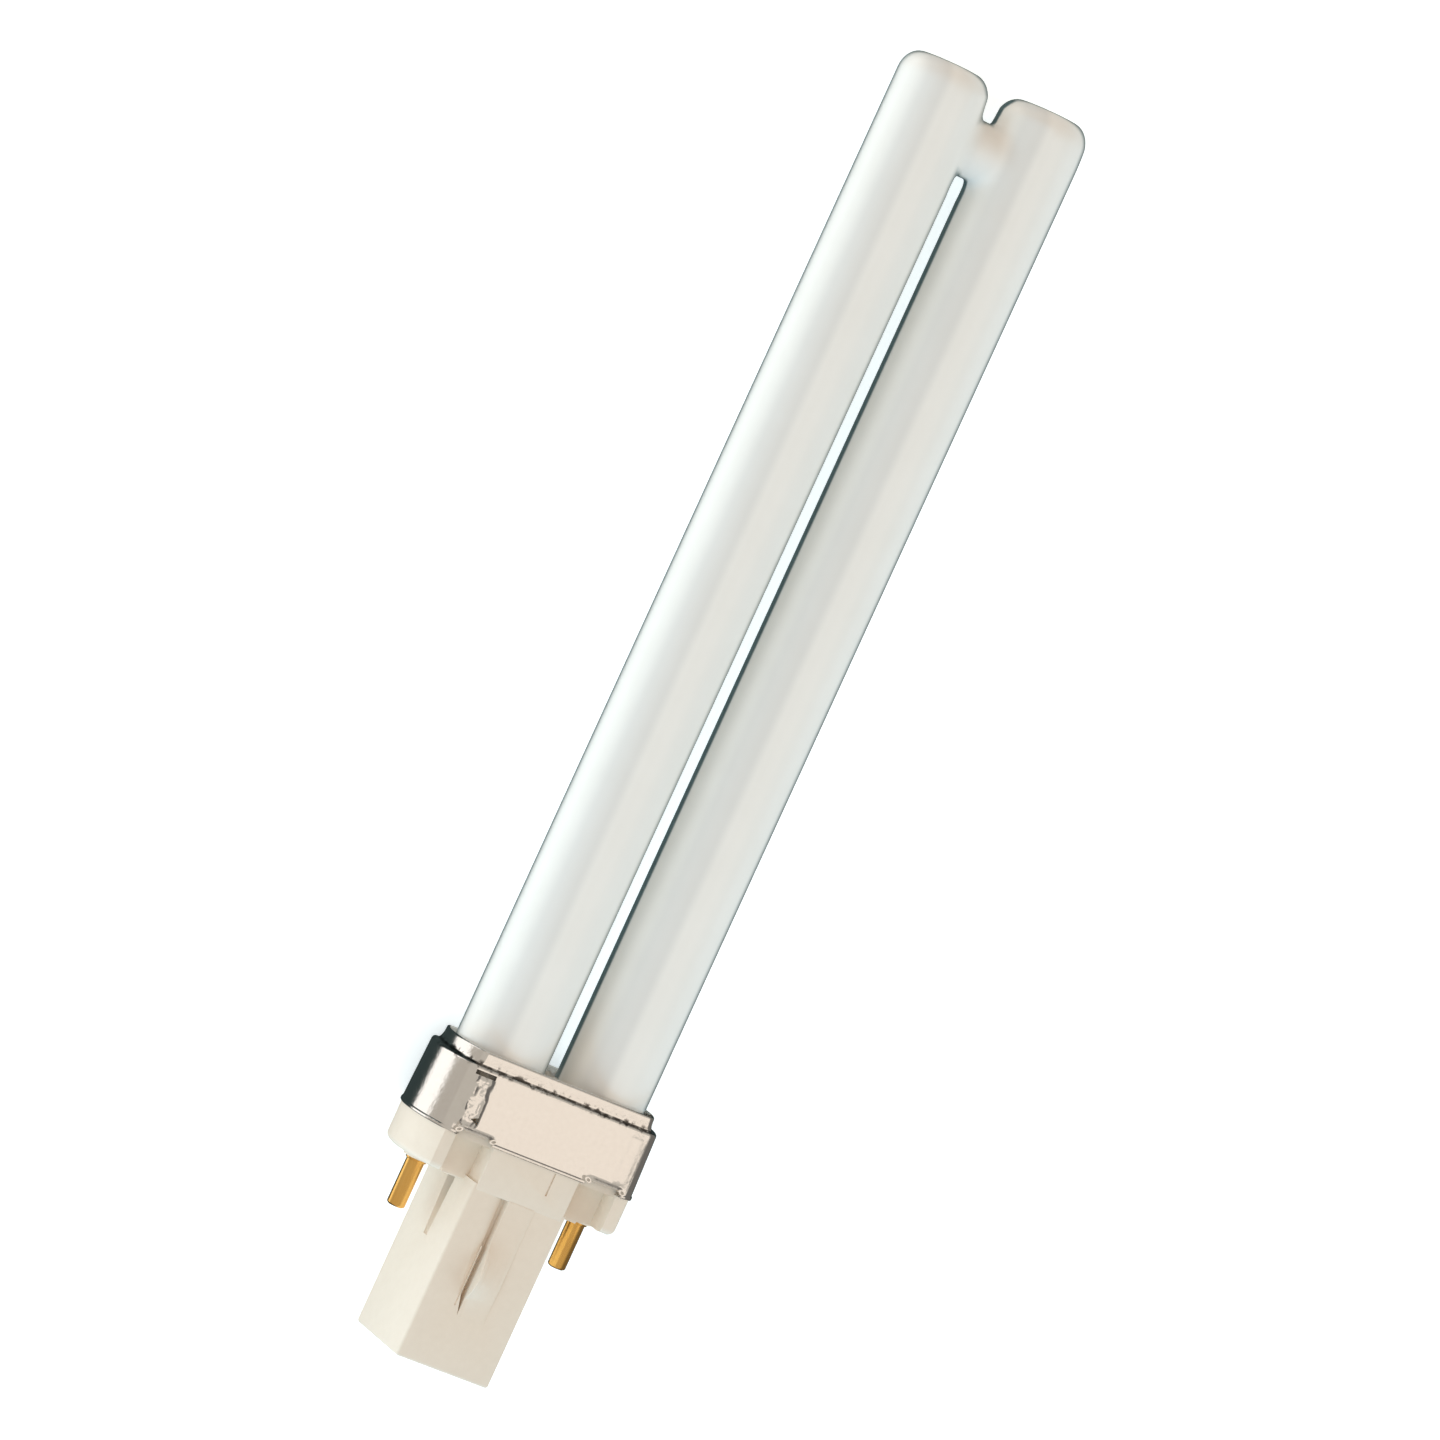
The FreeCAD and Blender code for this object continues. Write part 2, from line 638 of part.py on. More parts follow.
def make_contact_pin(label, side):
    """Hollow brass pin: a head on the housing's floor, a thicker root and a closed bevelled tip."""
    body = new_body(label)
    centre = [(side + "pin_spacing/2", "")]
    shank = circles(body, label + "_shank", "XY_Plane", "floor_thickness", centre, "pin_diameter")
    pad(body, shank, "floor_thickness pin_length", reverse=True)
    chamfer(body, label + "_tip", "pin_tip_chamfer", lambda edge: level(edge, -amount("pin_length")))
    root = circles(body, label + "_root", "XY_Plane", "floor_thickness", centre, "pin_root_diameter")
    pad(body, root, "floor_thickness platform_height pin_root_proud", reverse=True)
    head = circles(body, label + "_head", "XY_Plane", "floor_thickness", centre, "pin_head_diameter")
    pad(body, head, "pin_head")
    bore = circles(body, label + "_bore", "XY_Plane", "floor_thickness pin_head", centre, "pin_bore")
    pocket(body, bore, "floor_thickness pin_head pin_length -pin_tip")
    return body


def make_starter_bulb():
    """Glow starter: a sealed glass capsule with a flat pinch at its upper end."""
    body = new_body("starter_bulb")
    centre = [("", "-starter_shift")]
    capsule = circles(body, "capsule", "XY_Plane", "-starter_bottom", centre, "starter_diameter")
    pad(body, capsule, "starter_length")
    ends = (-amount("starter_bottom"), amount("starter_length -starter_bottom"))
    fillet(body, "capsule_ends", "starter_dome", lambda edge: any(level(edge, end) for end in ends))
    pinch = rectangle(
        "-pinch_width/2", "pinch_width/2",
        "-starter_shift -pinch_thickness/2", "-starter_shift pinch_thickness/2",
    )
    sketch = outline(body, "pinch", "XY_Plane", "starter_length -starter_bottom", pinch)
    pad(body, sketch, "pinch_height")
    return body


def make_capacitor():
    """Small dipped capacitor across the starter."""
    body = new_body("suppression_capacitor")
    block = rectangle(
        "-capacitor_width/2", "capacitor_width/2",
        "capacitor_shift -capacitor_thickness/2", "capacitor_shift capacitor_thickness/2",
    )
    pad(body, outline(body, "block", "XY_Plane", "-capacitor_bottom", block), "capacitor_height")
    fillet(body, "block_edges", "capacitor_edge_radius", lambda edge: edge.BoundBox.ZLength > 1)
    return body


def make_ferrule(label, side):
    """Crimped oval band round three parallel leads."""
    body = new_body(label)
    place = side + "ferrule_spacing/2"
    inner_x = "lead_diameter/2 lead_gap"
    inner_y = "lead_diameter lead_gap/0.5"
    for name, wall in (("_band", " ferrule_wall"), ("_eye", "")):
        x0, x1 = place + " " + negative(inner_x + wall), place + " " + inner_x + wall
        end = inner_y + " " + inner_x + wall
        path = [
            (x0, negative(inner_y)), (place, negative(end), "arc"), (x1, negative(inner_y)),
            (x1, inner_y), (place, end, "arc"), (x0, inner_y),
        ]
        sketch = outline(body, label + name, "XY_Plane", "ferrule_bottom", path)
        if name == "_band":
            pad(body, sketch, "ferrule_height")
        else:
            pocket(body, sketch, "ferrule_height", reverse=True)
    return body


def make_lead(label, places):
    """Round wire along straight runs joined by tangent arcs; places are (x, y, z) sums of sizes."""
    points = [Vector(amount(x), amount(y), amount(z)) for x, y, z in places]
    bend = amount("lead_bend")
    edges = []
    start = points[0]
    for before, corner, after in zip(points, points[1:], points[2:]):
        back = (before - corner).normalize()
        ahead = (after - corner).normalize()
        half_turn_angle = (math.pi - back.getAngle(ahead)) / 2
        setback = bend * math.tan(half_turn_angle)
        entry = corner + back * setback
        leave = corner + ahead * setback
        middle = corner + (back + ahead).normalize() * (bend / math.cos(half_turn_angle) - bend)
        edges.append(Part.LineSegment(start, entry).toShape())
        edges.append(Part.Arc(entry, middle, leave).toShape())
        start = leave
    edges.append(Part.LineSegment(start, points[-1]).toShape())
    spine = Part.Wire(edges)
    circle = Part.Wire(Part.Circle(points[0], points[1] - points[0], amount("lead_diameter") / 2).toShape())
    lead = doc.addObject("Part::Feature", label)
    lead.Label = label
    lead.Shape = spine.makePipeShell([circle], True, False)
    return lead


def make_leads(name, side):
    """The four wires of one side: to the pin, to the starter, and the starter's and capacitor's own."""
    joint = side + "ferrule_spacing/2"
    joint_top = "ferrule_bottom ferrule_height"
    turn = "lead_turn_height"
    pin = side + "pin_spacing/2"
    outer = side + "leg_place " + side + "lead_offset"
    inner = side + "leg_place " + negative(side + "lead_offset")
    row = "lead_diameter lead_gap"
    own = side + "starter_lead_spacing/2"
    cap = side + "capacitor_lead_spacing/2"
    pinch_top = "starter_length pinch_height -starter_bottom"
    block_top = "capacitor_height -capacitor_bottom"
    return [
        make_lead("pin_lead_" + name, [
            (outer, "", "tube_foot"), (outer, "", turn + " lead_bend/0.5"), (pin, "", turn),
            (pin, "", "pin_tip -pin_length"),
        ]),
        make_lead("starter_feed_" + name, [
            (inner, "", "tube_foot"), (inner, "", turn + " lead_bend/0.5"),
            (joint, "", turn + " lead_bend/2"), (joint, "", "ferrule_bottom"),
        ]),
        make_lead("starter_lead_" + name, [
            (own, "-starter_shift", pinch_top), (own, "-starter_shift", "-lead_low_turn"),
            (joint, negative(row), "lead_low_turn"), (joint, negative(row), joint_top),
        ]),
        make_lead("capacitor_lead_" + name, [
            (cap, "capacitor_shift", block_top), (cap, "capacitor_shift", "-lead_low_turn"),
            (joint, row, "lead_low_turn"), (joint, row, joint_top),
        ]),
    ]


def rest_placement(pieces):
    """Placement that lays the lamp on its back, its box centred over the origin and its lowest point at 0.

    The tube tips touch the table with their rounded ends, and so does whichever stands out further at the
    base, the latch's nose or the collar's hem.
    """
    radius = amount("tube_top_radius")
    tip_y, tip_z = amount("tube_diameter/2") - radius, amount("tube_top") - radius
    supports = [
        (amount("post_depth/2 tongue_proud nose_proud"), -amount("nose_peak")),
        (amount("collar_depth hem_proud"), amount("shoulder_top hem_height")),
    ]
    tilts = []
    for support_y, support_z in supports:
        run, drop = tip_z - support_z, support_y - tip_y
        tilts.append(math.atan2(drop, run) - math.asin(radius / math.hypot(run, drop)))
    turn = Rotation(Vector(1, 0, 0), -90 - math.degrees(max(tilts)))
    laid = Part.makeCompound([piece.Shape for piece in pieces])
    laid.Placement = Placement(Vector(), turn)
    box = laid.optimalBoundingBox(False, False)
    return Placement(Vector(-box.Center.x, -box.Center.y, -box.ZMin), turn)


def main():
    pieces = [
        make_discharge_tube(), make_metal_collar(), make_capping_cement(), make_base_housing(),
        make_contact_pin("contact_pin_left", "-"), make_contact_pin("contact_pin_right", ""),
        make_starter_bulb(), make_capacitor(),
    ]
    for name, side in (("left", "-"), ("right", "")):
        pieces.append(make_ferrule("crimp_ferrule_" + name, side))
        pieces.extend(make_leads(name, side))
    doc.recompute()
    place = rest_placement(pieces)
    for piece in pieces:
        piece.Placement = place
    doc.recompute()

    for item in doc.Objects:
        if "Invalid" in item.State or "Error" in item.State:
            raise ValueError(f"{item.Name} failed: {item.State}")
    for piece in pieces:
        if piece.Shape.isNull() or not piece.Shape.isValid() or len(piece.Shape.Solids) != 1:
            raise ValueError(f"{piece.Label} is not one valid solid")

    os.makedirs("parts", exist_ok=True)
    for piece in pieces:
        piece.Shape.exportStep(f"parts/{piece.Label}.step")
        print(piece.Label, round(piece.Shape.Volume, 2))
    box = Part.makeCompound([piece.Shape for piece in pieces]).optimalBoundingBox(False, False)
    print("box", [round(v, 3) for v in (box.XMin, box.YMin, box.ZMin, box.XMax, box.YMax, box.ZMax)])


main()
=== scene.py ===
"""Compact two-pin fluorescent lamp, laid on its back on a pale table.

Pieces are modelled upright in the lamp's own axes, in metres: X runs through the two pins, Y is the lamp's
depth with the front at -Y, and Z runs up the lamp from the underside of the base's shoulders. Each finished
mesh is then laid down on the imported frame.
"""
import json
import math

import bmesh
import bpy
from mathutils import Matrix, Vector, noise


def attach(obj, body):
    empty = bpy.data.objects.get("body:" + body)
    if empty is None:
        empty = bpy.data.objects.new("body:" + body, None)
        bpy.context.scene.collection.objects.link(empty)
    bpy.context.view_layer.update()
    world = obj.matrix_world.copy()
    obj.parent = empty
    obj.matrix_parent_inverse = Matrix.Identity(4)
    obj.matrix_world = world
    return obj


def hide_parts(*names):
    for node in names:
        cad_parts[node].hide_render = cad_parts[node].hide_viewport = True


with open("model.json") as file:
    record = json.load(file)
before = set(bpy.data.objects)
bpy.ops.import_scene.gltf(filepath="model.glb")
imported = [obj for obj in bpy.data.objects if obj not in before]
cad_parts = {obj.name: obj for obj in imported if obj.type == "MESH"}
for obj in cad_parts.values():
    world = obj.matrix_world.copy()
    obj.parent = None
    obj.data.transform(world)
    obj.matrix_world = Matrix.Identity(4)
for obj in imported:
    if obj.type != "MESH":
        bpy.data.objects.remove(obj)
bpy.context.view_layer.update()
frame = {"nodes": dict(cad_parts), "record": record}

# The lamp's own axes on the laid frame. The base's seat faces down the lamp, 8 mm to the right of its axis
# and half a millimetre below the shoulders, and so tells how the lamp leans and where its base lies.
mm = 0.001
seat = next(mount for mount in frame["record"]["mounts"] if mount["name"] == "seat")
seat_on_lamp = Vector((8, 0, -0.5)) * mm
lamp_up = -Vector(seat["axis"]).normalized()
lamp_right = Vector((1, 0, 0))
lamp_back = lamp_up.cross(lamp_right)
turn = Matrix((lamp_right, lamp_back, lamp_up)).transposed()
laid = Matrix.Translation(Vector(seat["pos_m"]) - turn @ seat_on_lamp) @ turn.to_4x4()

# Camera. It looks down on the laid lamp from the photograph's place: 26 degrees round to the left of the
# lamp's front, a little above its middle, and turned so that the lamp's tips lean to the right.
photo_width = 1440
view_round = math.radians(26.10)
view_lean = math.radians(2.247)
picture_roll = math.radians(24.6)
view_distance = 818.3 * mm
focal_pixels = 6829
aim_on_lamp = Vector((0, 0, 62)) * mm
framing_right = 0.85 * mm
framing_up = -0.04 * mm
view_right = Vector((math.cos(view_round), -math.sin(view_round), 0))
view_forward = Vector((
    math.sin(view_round) * math.cos(view_lean),
    math.cos(view_round) * math.cos(view_lean),
    -math.sin(view_lean),
))
view_up = view_right.cross(view_forward)
eye = aim_on_lamp + view_right * framing_right + view_up * framing_up - view_forward * view_distance
picture_right = view_right * math.cos(picture_roll) + view_up * math.sin(picture_roll)
picture_up = view_up * math.cos(picture_roll) - view_right * math.sin(picture_roll)
camera_data = bpy.data.cameras.new("photo_camera")
camera_data.sensor_width = 36
camera_data.lens = focal_pixels / photo_width * camera_data.sensor_width
camera_data.clip_start = 0.05
camera_data.clip_end = 20
camera = bpy.data.objects.new("photo_camera", camera_data)
camera_axes = Matrix((picture_right, picture_up, -view_forward)).transposed().to_4x4()
camera.matrix_world = laid @ Matrix.Translation(eye) @ camera_axes
bpy.context.scene.collection.objects.link(camera)
bpy.context.scene.camera = camera

# Table. White and plain, and glowing a little as under a light tent, so that the lamp's shadow on it is
# faint. Neither the metal nor the glass mirrors it.
table_size = 4.0
table_colour = (0.92, 0.95, 0.96, 1)
glow_colour = (0.90, 0.97, 1.0, 1)
glow_strength = 0.48
table = bmesh.new()
bmesh.ops.create_grid(table, x_segments=1, y_segments=1, size=table_size / 2)
table_mesh = bpy.data.meshes.new("table")
table.to_mesh(table_mesh)
table.free()
table_top = bpy.data.objects.new("table", table_mesh)
table_top.visible_glossy = False
bpy.context.scene.collection.objects.link(table_top)
table_white = bpy.data.materials.new("table_white")
table_white.use_nodes = True
table_shader = table_white.node_tree.nodes["Principled BSDF"]
table_shader.inputs["Base Color"].default_value = table_colour
table_shader.inputs["Roughness"].default_value = 0.9
table_shader.inputs["Specular IOR Level"].default_value = 0.0
table_shader.inputs["Emission Color"].default_value = glow_colour
table_shader.inputs["Emission Strength"].default_value = glow_strength
table_mesh.materials.append(table_white)


# Room. It is dark below, grey at the skyline, warm overhead and dim on the right, with a white card low on
# the left and a lit panel in the ceiling.
def ramp(tree, source, start, stop):
    """Smooth rise from 0 to 1 while a value goes from start to stop."""
    node = tree.nodes.new("ShaderNodeMapRange")
    node.interpolation_type = "SMOOTHSTEP"
    node.inputs["From Min"].default_value = start
    node.inputs["From Max"].default_value = stop
    tree.links.new(source, node.inputs["Value"])
    return node.outputs["Result"]


def mixed(tree, share, first, second, blend="MIX"):
    """Mix of two colours, each a socket or four numbers, by a share from 0 to 1."""
    node = tree.nodes.new("ShaderNodeMix")
    node.data_type = "RGBA"
    node.blend_type = blend
    tree.links.new(share, node.inputs["Factor"])
    for name, colour in (("A", first), ("B", second)):
        if isinstance(colour, tuple):
            node.inputs[name].default_value = colour
        else:
            tree.links.new(colour, node.inputs[name])
    return node.outputs["Result"]


room = bpy.data.worlds.new("studio")
room.use_nodes = True
room_tree = room.node_tree
direction = room_tree.nodes.new("ShaderNodeTexCoord")
ray = room_tree.nodes.new("ShaderNodeLightPath")
room_colour = (0.035, 0.05, 0.05, 1)
# Each patch has a middle, in degrees from overhead towards the right, and fades out between two angles from
# it. A squeeze below 1 stretches it along the lamp. Metal and glass mirror the warm patch as a greyer one.
for squeeze, middle, inner, outer, shown, mirrored in (
    (0.25, 0, 116, 120, (0.50, 0.46, 0.41, 1), None),
    (0.25, 0, 68, 82, (0.70, 0.565, 0.45, 1), (0.54, 0.50, 0.445, 1)),
    (0.25, 84, 26, 50, (0.16, 0.15, 0.14, 1), None),
    (0.25, -129, 14, 17, (1.25, 1.22, 1.18, 1), None),
    (1.5, 24, 11, 17, (0.98, 0.88, 0.78, 1), None),
):
    middle, inner, outer = (math.radians(angle) for angle in (middle, inner, outer))
    squeezed = room_tree.nodes.new("ShaderNodeVectorMath")
    squeezed.operation = "MULTIPLY"
    squeezed.inputs[1].default_value = (1, squeeze, 1)
    unit = room_tree.nodes.new("ShaderNodeVectorMath")
    unit.operation = "NORMALIZE"
    nearness = room_tree.nodes.new("ShaderNodeVectorMath")
    nearness.operation = "DOT_PRODUCT"
    nearness.inputs[1].default_value = (math.sin(middle), 0, math.cos(middle))
    room_tree.links.new(direction.outputs["Generated"], squeezed.inputs[0])
    room_tree.links.new(squeezed.outputs[0], unit.inputs[0])
    room_tree.links.new(unit.outputs[0], nearness.inputs[0])
    patch = ramp(room_tree, nearness.outputs["Value"], math.cos(outer), math.cos(inner))
    if mirrored:
        shown = mixed(room_tree, ray.outputs["Is Glossy Ray"], shown, mirrored)
    room_colour = mixed(room_tree, patch, room_colour, shown)
room_tree.links.new(room_colour, room_tree.nodes["Background"].inputs["Color"])
bpy.context.scene.world = room
bpy.context.scene.view_settings.view_transform = "Standard"

# Lights. Soft and square, all aimed at the lamp: one low on each side and a cooler one beyond the base.
for name, place, size, strength in (
    ("left_low", (-1.1, -0.15, 0.42), 0.8, (3.0, 4.0, 4.6)),
    ("right_low", (1.1, 0.05, 0.35), 0.7, (5.5, 7.0, 7.8)),
    ("base_side", (-0.25, -1.2, 0.5), 0.8, (2.9, 6.3, 8.8)),
):
    lamp_data = bpy.data.lights.new(name, "AREA")
    lamp_data.shape = "SQUARE"
    lamp_data.size = size
    lamp_data.energy = max(strength)
    lamp_data.color = [part / max(strength) for part in strength]
    light = bpy.data.objects.new(name, lamp_data)
    light.location = place
    light.visible_glossy = False
    light.rotation_euler = (-Vector(place)).to_track_quat("-Z", "Y").to_euler()
    bpy.context.scene.collection.objects.link(light)


# Base housing. One cream moulding, from a two-part tool with side slides: notched shoulders, a rim that goes
# up inside the collar, and the hollow post with a latch tongue on its front and back.
def mottle_group():
    """Fine unevenness of a moulded, coated or drawn surface: two colours mixed by noise, and its height."""
    group = bpy.data.node_groups.new("fine_mottle", "ShaderNodeTree")
    for socket, kind in (
        ("Light", "NodeSocketColor"), ("Dark", "NodeSocketColor"),
        ("Scale", "NodeSocketFloat"), ("Stretch", "NodeSocketVector"),
    ):
        group.interface.new_socket(name=socket, in_out="INPUT", socket_type=kind)
    group.interface.new_socket(name="Color", in_out="OUTPUT", socket_type="NodeSocketColor")
    group.interface.new_socket(name="Height", in_out="OUTPUT", socket_type="NodeSocketFloat")
    nodes, links = group.nodes, group.links
    given = nodes.new("NodeGroupInput")
    out = nodes.new("NodeGroupOutput")
    place = nodes.new("ShaderNodeTexCoord")
    stretch = nodes.new("ShaderNodeVectorMath")
    stretch.operation = "MULTIPLY"
    cloud = nodes.new("ShaderNodeTexNoise")
    cloud.inputs["Detail"].default_value = 4
    cloud.inputs["Roughness"].default_value = 0.6
    links.new(place.outputs["Object"], stretch.inputs[0])
    links.new(given.outputs["Stretch"], stretch.inputs[1])
    links.new(stretch.outputs[0], cloud.inputs["Vector"])
    links.new(given.outputs["Scale"], cloud.inputs["Scale"])
    colour = mixed(group, cloud.outputs["Fac"], given.outputs["Light"], given.outputs["Dark"])
    links.new(colour, out.inputs["Color"])
    links.new(cloud.outputs["Fac"], out.inputs["Height"])
    return group


fine_mottle = mottle_group()


def mottled(name, light, dark, scale, roughness, bump, metallic=0.0, stretch=(1, 1, 1)):
    """Material whose colour and relief follow the fine mottle."""
    material = bpy.data.materials.new(name)
    material.use_nodes = True
    nodes, links = material.node_tree.nodes, material.node_tree.links
    shader = nodes["Principled BSDF"]
    shader.inputs["Roughness"].default_value = roughness
    shader.inputs["Metallic"].default_value = metallic
    mottle = nodes.new("ShaderNodeGroup")
    mottle.node_tree = fine_mottle
    mottle.inputs["Light"].default_value = (*light, 1)
    mottle.inputs["Dark"].default_value = (*dark, 1)
    mottle.inputs["Scale"].default_value = scale
    mottle.inputs["Stretch"].default_value = stretch
    relief = nodes.new("ShaderNodeBump")
    relief.inputs["Strength"].default_value = bump
    relief.inputs["Distance"].default_value = 0.02 * mm
    links.new(mottle.outputs["Color"], shader.inputs["Base Color"])
    links.new(mottle.outputs["Height"], relief.inputs["Height"])
    links.new(relief.outputs["Normal"], shader.inputs["Normal"])
    return material


cream_moulding = mottled(
    "cream_moulding", light=(0.86, 0.765, 0.65), dark=(0.80, 0.70, 0.585),
    scale=900, roughness=0.42, bump=0.25,
)


def block(low, high):
    """Plain block between two corners given in millimetres."""
    bm = bmesh.new()
    bmesh.ops.create_cube(bm, size=1)
    size = [b - a for a, b in zip(low, high)]
    bmesh.ops.scale(bm, vec=Vector(size) * mm, verts=bm.verts)
    bmesh.ops.translate(bm, vec=(Vector(low) + Vector(high)) * mm / 2, verts=bm.verts)
    return bm


def swept_face(bm, corner, end, depth, height, steps, side_points=()):
    """Flat face, in millimetres, with swept ends and long sides that run through some points."""
    centre = (end ** 2 - corner ** 2 - depth ** 2) / (2 * (end - corner))
    sweep = 2 * math.atan2(depth, corner - centre)
    ends = []
    for half in (1, -1):
        start = bm.verts.new(Vector((half * corner, -half * depth, height)) * mm)
        before = set(bm.verts)
        bmesh.ops.spin(
            bm, geom=[start], cent=Vector((half * centre, 0, height)) * mm, axis=(0, 0, 1), dvec=(0, 0, 0),
            angle=sweep, steps=steps, use_merge=False, use_duplicate=False,
        )
        arc = [v for v in bm.verts if v not in before]
        stop = max(arc, key=lambda v: v.co.y * half)
        ends.append((start, stop))
    for half, stop, next_start in ((1, ends[0][1], ends[1][0]), (-1, ends[1][1], ends[0][0])):
        path = [stop]
        path += [bm.verts.new(Vector((-half * x, -half * y, height)) * mm) for x, y in side_points]
        path.append(next_start)
        for pair in zip(path, path[1:]):
            bm.edges.new(pair)
    face = bmesh.ops.contextual_create(bm, geom=list(bm.edges))["faces"][0]
    if face.normal.z < 0:
        face.normal_flip()
    return face


def raised(bm, face, rise):
    """Solid that a flat face sweeps when it is raised."""
    grown = bmesh.ops.extrude_face_region(bm, geom=[face])["geom"]
    moved = [item for item in grown if isinstance(item, bmesh.types.BMVert)]
    bmesh.ops.translate(bm, vec=(0, 0, rise * mm), verts=moved)
    bmesh.ops.recalc_face_normals(bm, faces=bm.faces)
    return moved


def swept_block(corner, end, depth, low, high, steps, side_points=()):
    """Solid with swept ends between two heights, in millimetres."""
    bm = bmesh.new()
    raised(bm, swept_face(bm, corner, end, depth, low, steps, side_points), high - low)
    return bm


def outlined_block(points, low, high):
    """Solid over a flat outline, between two heights, in millimetres."""
    bm = bmesh.new()
    face = bm.faces.new([bm.verts.new(Vector((x, y, low)) * mm) for x, y in points])
    return bm, raised(bm, face, high - low)


def round_edges(bm, radius, segments, chosen):
    """Rounds the edges that a test picks, with a radius in millimetres."""
    bmesh.ops.bevel(
        bm, geom=[edge for edge in bm.edges if chosen(edge)], offset=radius * mm, offset_type="OFFSET",
        segments=segments, profile=0.5, affect="EDGES", clamp_overlap=True, material=-1,
    )


def upright(edge):
    a, b = (v.co for v in edge.verts)
    return (a.xy - b.xy).length < 0.001 * mm


def lies_at(edge, height):
    return all(abs(v.co.z - height * mm) < 0.001 * mm for v in edge.verts)


def both_ways(bm):
    """Adds the same shape half a turn on, as the base fits its holder either way round."""
    copy = bmesh.ops.duplicate(bm, geom=list(bm.verts) + list(bm.edges) + list(bm.faces))["geom"]
    verts = [item for item in copy if isinstance(item, bmesh.types.BMVert)]
    bmesh.ops.rotate(bm, cent=(0, 0, 0), matrix=Matrix.Rotation(math.pi, 3, "Z"), verts=verts)
    return bm


def combined(base, operation, tools):
    """What is left of one shape when others are joined to it or cut out of it. All of them are used up."""
    objects = []
    for bm in [base, *tools]:
        mesh = bpy.data.meshes.new("shape")
        bm.to_mesh(mesh)
        bm.free()
        thing = bpy.data.objects.new("shape", mesh)
        bpy.context.scene.collection.objects.link(thing)
        objects.append(thing)
    for tool in objects[1:]:
        step = objects[0].modifiers.new("step", "BOOLEAN")
        step.operation = operation
        step.solver = "EXACT"
        step.object = tool
    graph = bpy.context.evaluated_depsgraph_get()
    result = bmesh.new()
    result.from_mesh(objects[0].evaluated_get(graph).to_mesh())
    for thing in objects:
        mesh = thing.data
        bpy.data.objects.remove(thing)
        bpy.data.meshes.remove(mesh)
    return result


seat_height = -0.5
shoulder_corner, shoulder_end, shoulder_depth, shoulder_top = 12.95, 15.25, 7.1, 4.85
shoulder_steps = 16
notch_end, notch_back = 11.4, -3.75
notch = [(-notch_end, -shoulder_depth), (-notch_end, notch_back), (notch_end, notch_back),
         (notch_end, -shoulder_depth)]
shoulders = swept_block(
    shoulder_corner, shoulder_end, shoulder_depth, 0, shoulder_top, shoulder_steps, notch)
past_notch = (2 * notch_end + 0.1) * mm
round_edges(shoulders, 0.8, 5, lambda e: lies_at(e, 0) and sum(abs(v.co.x) for v in e.verts) > past_notch)
sharp_corner = 0.4
round_edges(shoulders, 0.13, 2, lambda e: e.is_convex and upright(e) and e.calc_face_angle(0) > sharp_corner)
bmesh.ops.remove_doubles(shoulders, verts=shoulders.verts, dist=0.004 * mm)
centre_end, centre_top = 6.1, 4.84
centre = block((-centre_end, -shoulder_depth, seat_height), (centre_end, shoulder_depth, centre_top))
round_edges(centre, 0.15, 2, lambda e: upright(e) or lies_at(e, seat_height))
platform_end, platform_depth, platform_foot, platform_top = 9.6, 3.73, -0.49, 0.3
platform = block((-platform_end, -platform_depth, platform_foot),
                 (platform_end, platform_depth, platform_top))
round_edges(platform, 0.12, 2, lambda e: lies_at(e, platform_foot))
rim_corner, rim_end, rim_depth, rim_foot, rim_top = 12.2, 14.5, 6.25, 4.5, 9.4
rim = swept_block(rim_corner, rim_end, rim_depth, rim_foot, rim_top, shoulder_steps)
pin_spacing = 23
boss_radius, boss_depth, boss_middle = 1.75, 0.8, -0.1
bosses = bmesh.new()
for side in (-1, 1):
    bmesh.ops.create_cone(
        bosses, cap_ends=True, segments=32, radius1=boss_radius * mm, radius2=boss_radius * mm,
        depth=boss_depth * mm,
        matrix=Matrix.Translation(Vector((side * pin_spacing / 2, 0, boss_middle)) * mm),
    )

# The post, with a slot beside each tongue, the wall falling away towards the slot, and a scoop in each side.
post_end, post_depth, post_foot, post_top = 6.5, 7.0, -22.5, 0.2
cut_top = -0.45
just_out, well_out = 0.001, 0.3
post = block((-post_end, -post_depth, post_foot), (post_end, post_depth, post_top))
round_edges(post, 0.35, 3, upright)
round_edges(post, 0.6, 3, lambda e: lies_at(e, post_foot))
slot_left, slot_right, slot_foot, slot_front, slot_back = -2.15, -1.35, -15.4, -7.4, -5.8
slot, slot_top = outlined_block(
    [(slot_left, slot_front), (slot_right, slot_front), (slot_right, slot_back), (slot_left, slot_back)],
    slot_foot, cut_top)
slot_tip = [v for v in slot.verts if v not in slot_top and v.co.x < -2 * mm]
bmesh.ops.translate(slot, vec=(0.1 * mm, 0, 2.6 * mm), verts=slot_tip)
both_ways(slot)
fall_steps = 8
fall_left, fall_right, fall_depth, fall_foot = -3.9, -2.1, 0.62, -14.4
fall_line = [
    (fall_left + (fall_right - fall_left) * step / fall_steps,
     -post_depth + fall_depth * (1 - math.cos(math.pi / 2 * step / fall_steps)))
    for step in range(1, fall_steps + 1)
]
fall, fall_top = outlined_block(
    [(fall_left, -post_depth - just_out), *fall_line, (fall_right, -post_depth - well_out),
     (fall_left, -post_depth - well_out)], fall_foot, cut_top)
fall_tip = [v for v in fall.verts if v not in fall_top]
bmesh.ops.scale(fall, vec=(0.15, 0.15, 1), verts=fall_tip,
                space=Matrix.Translation(Vector((-fall_right, post_depth + just_out, 0)) * mm))
both_ways(fall)
scoop_steps = 8
scoop_middle, scoop_half, scoop_depth, scoop_foot, scoop_top = -0.4, 1.1, 2.4, -8.6, -0.52
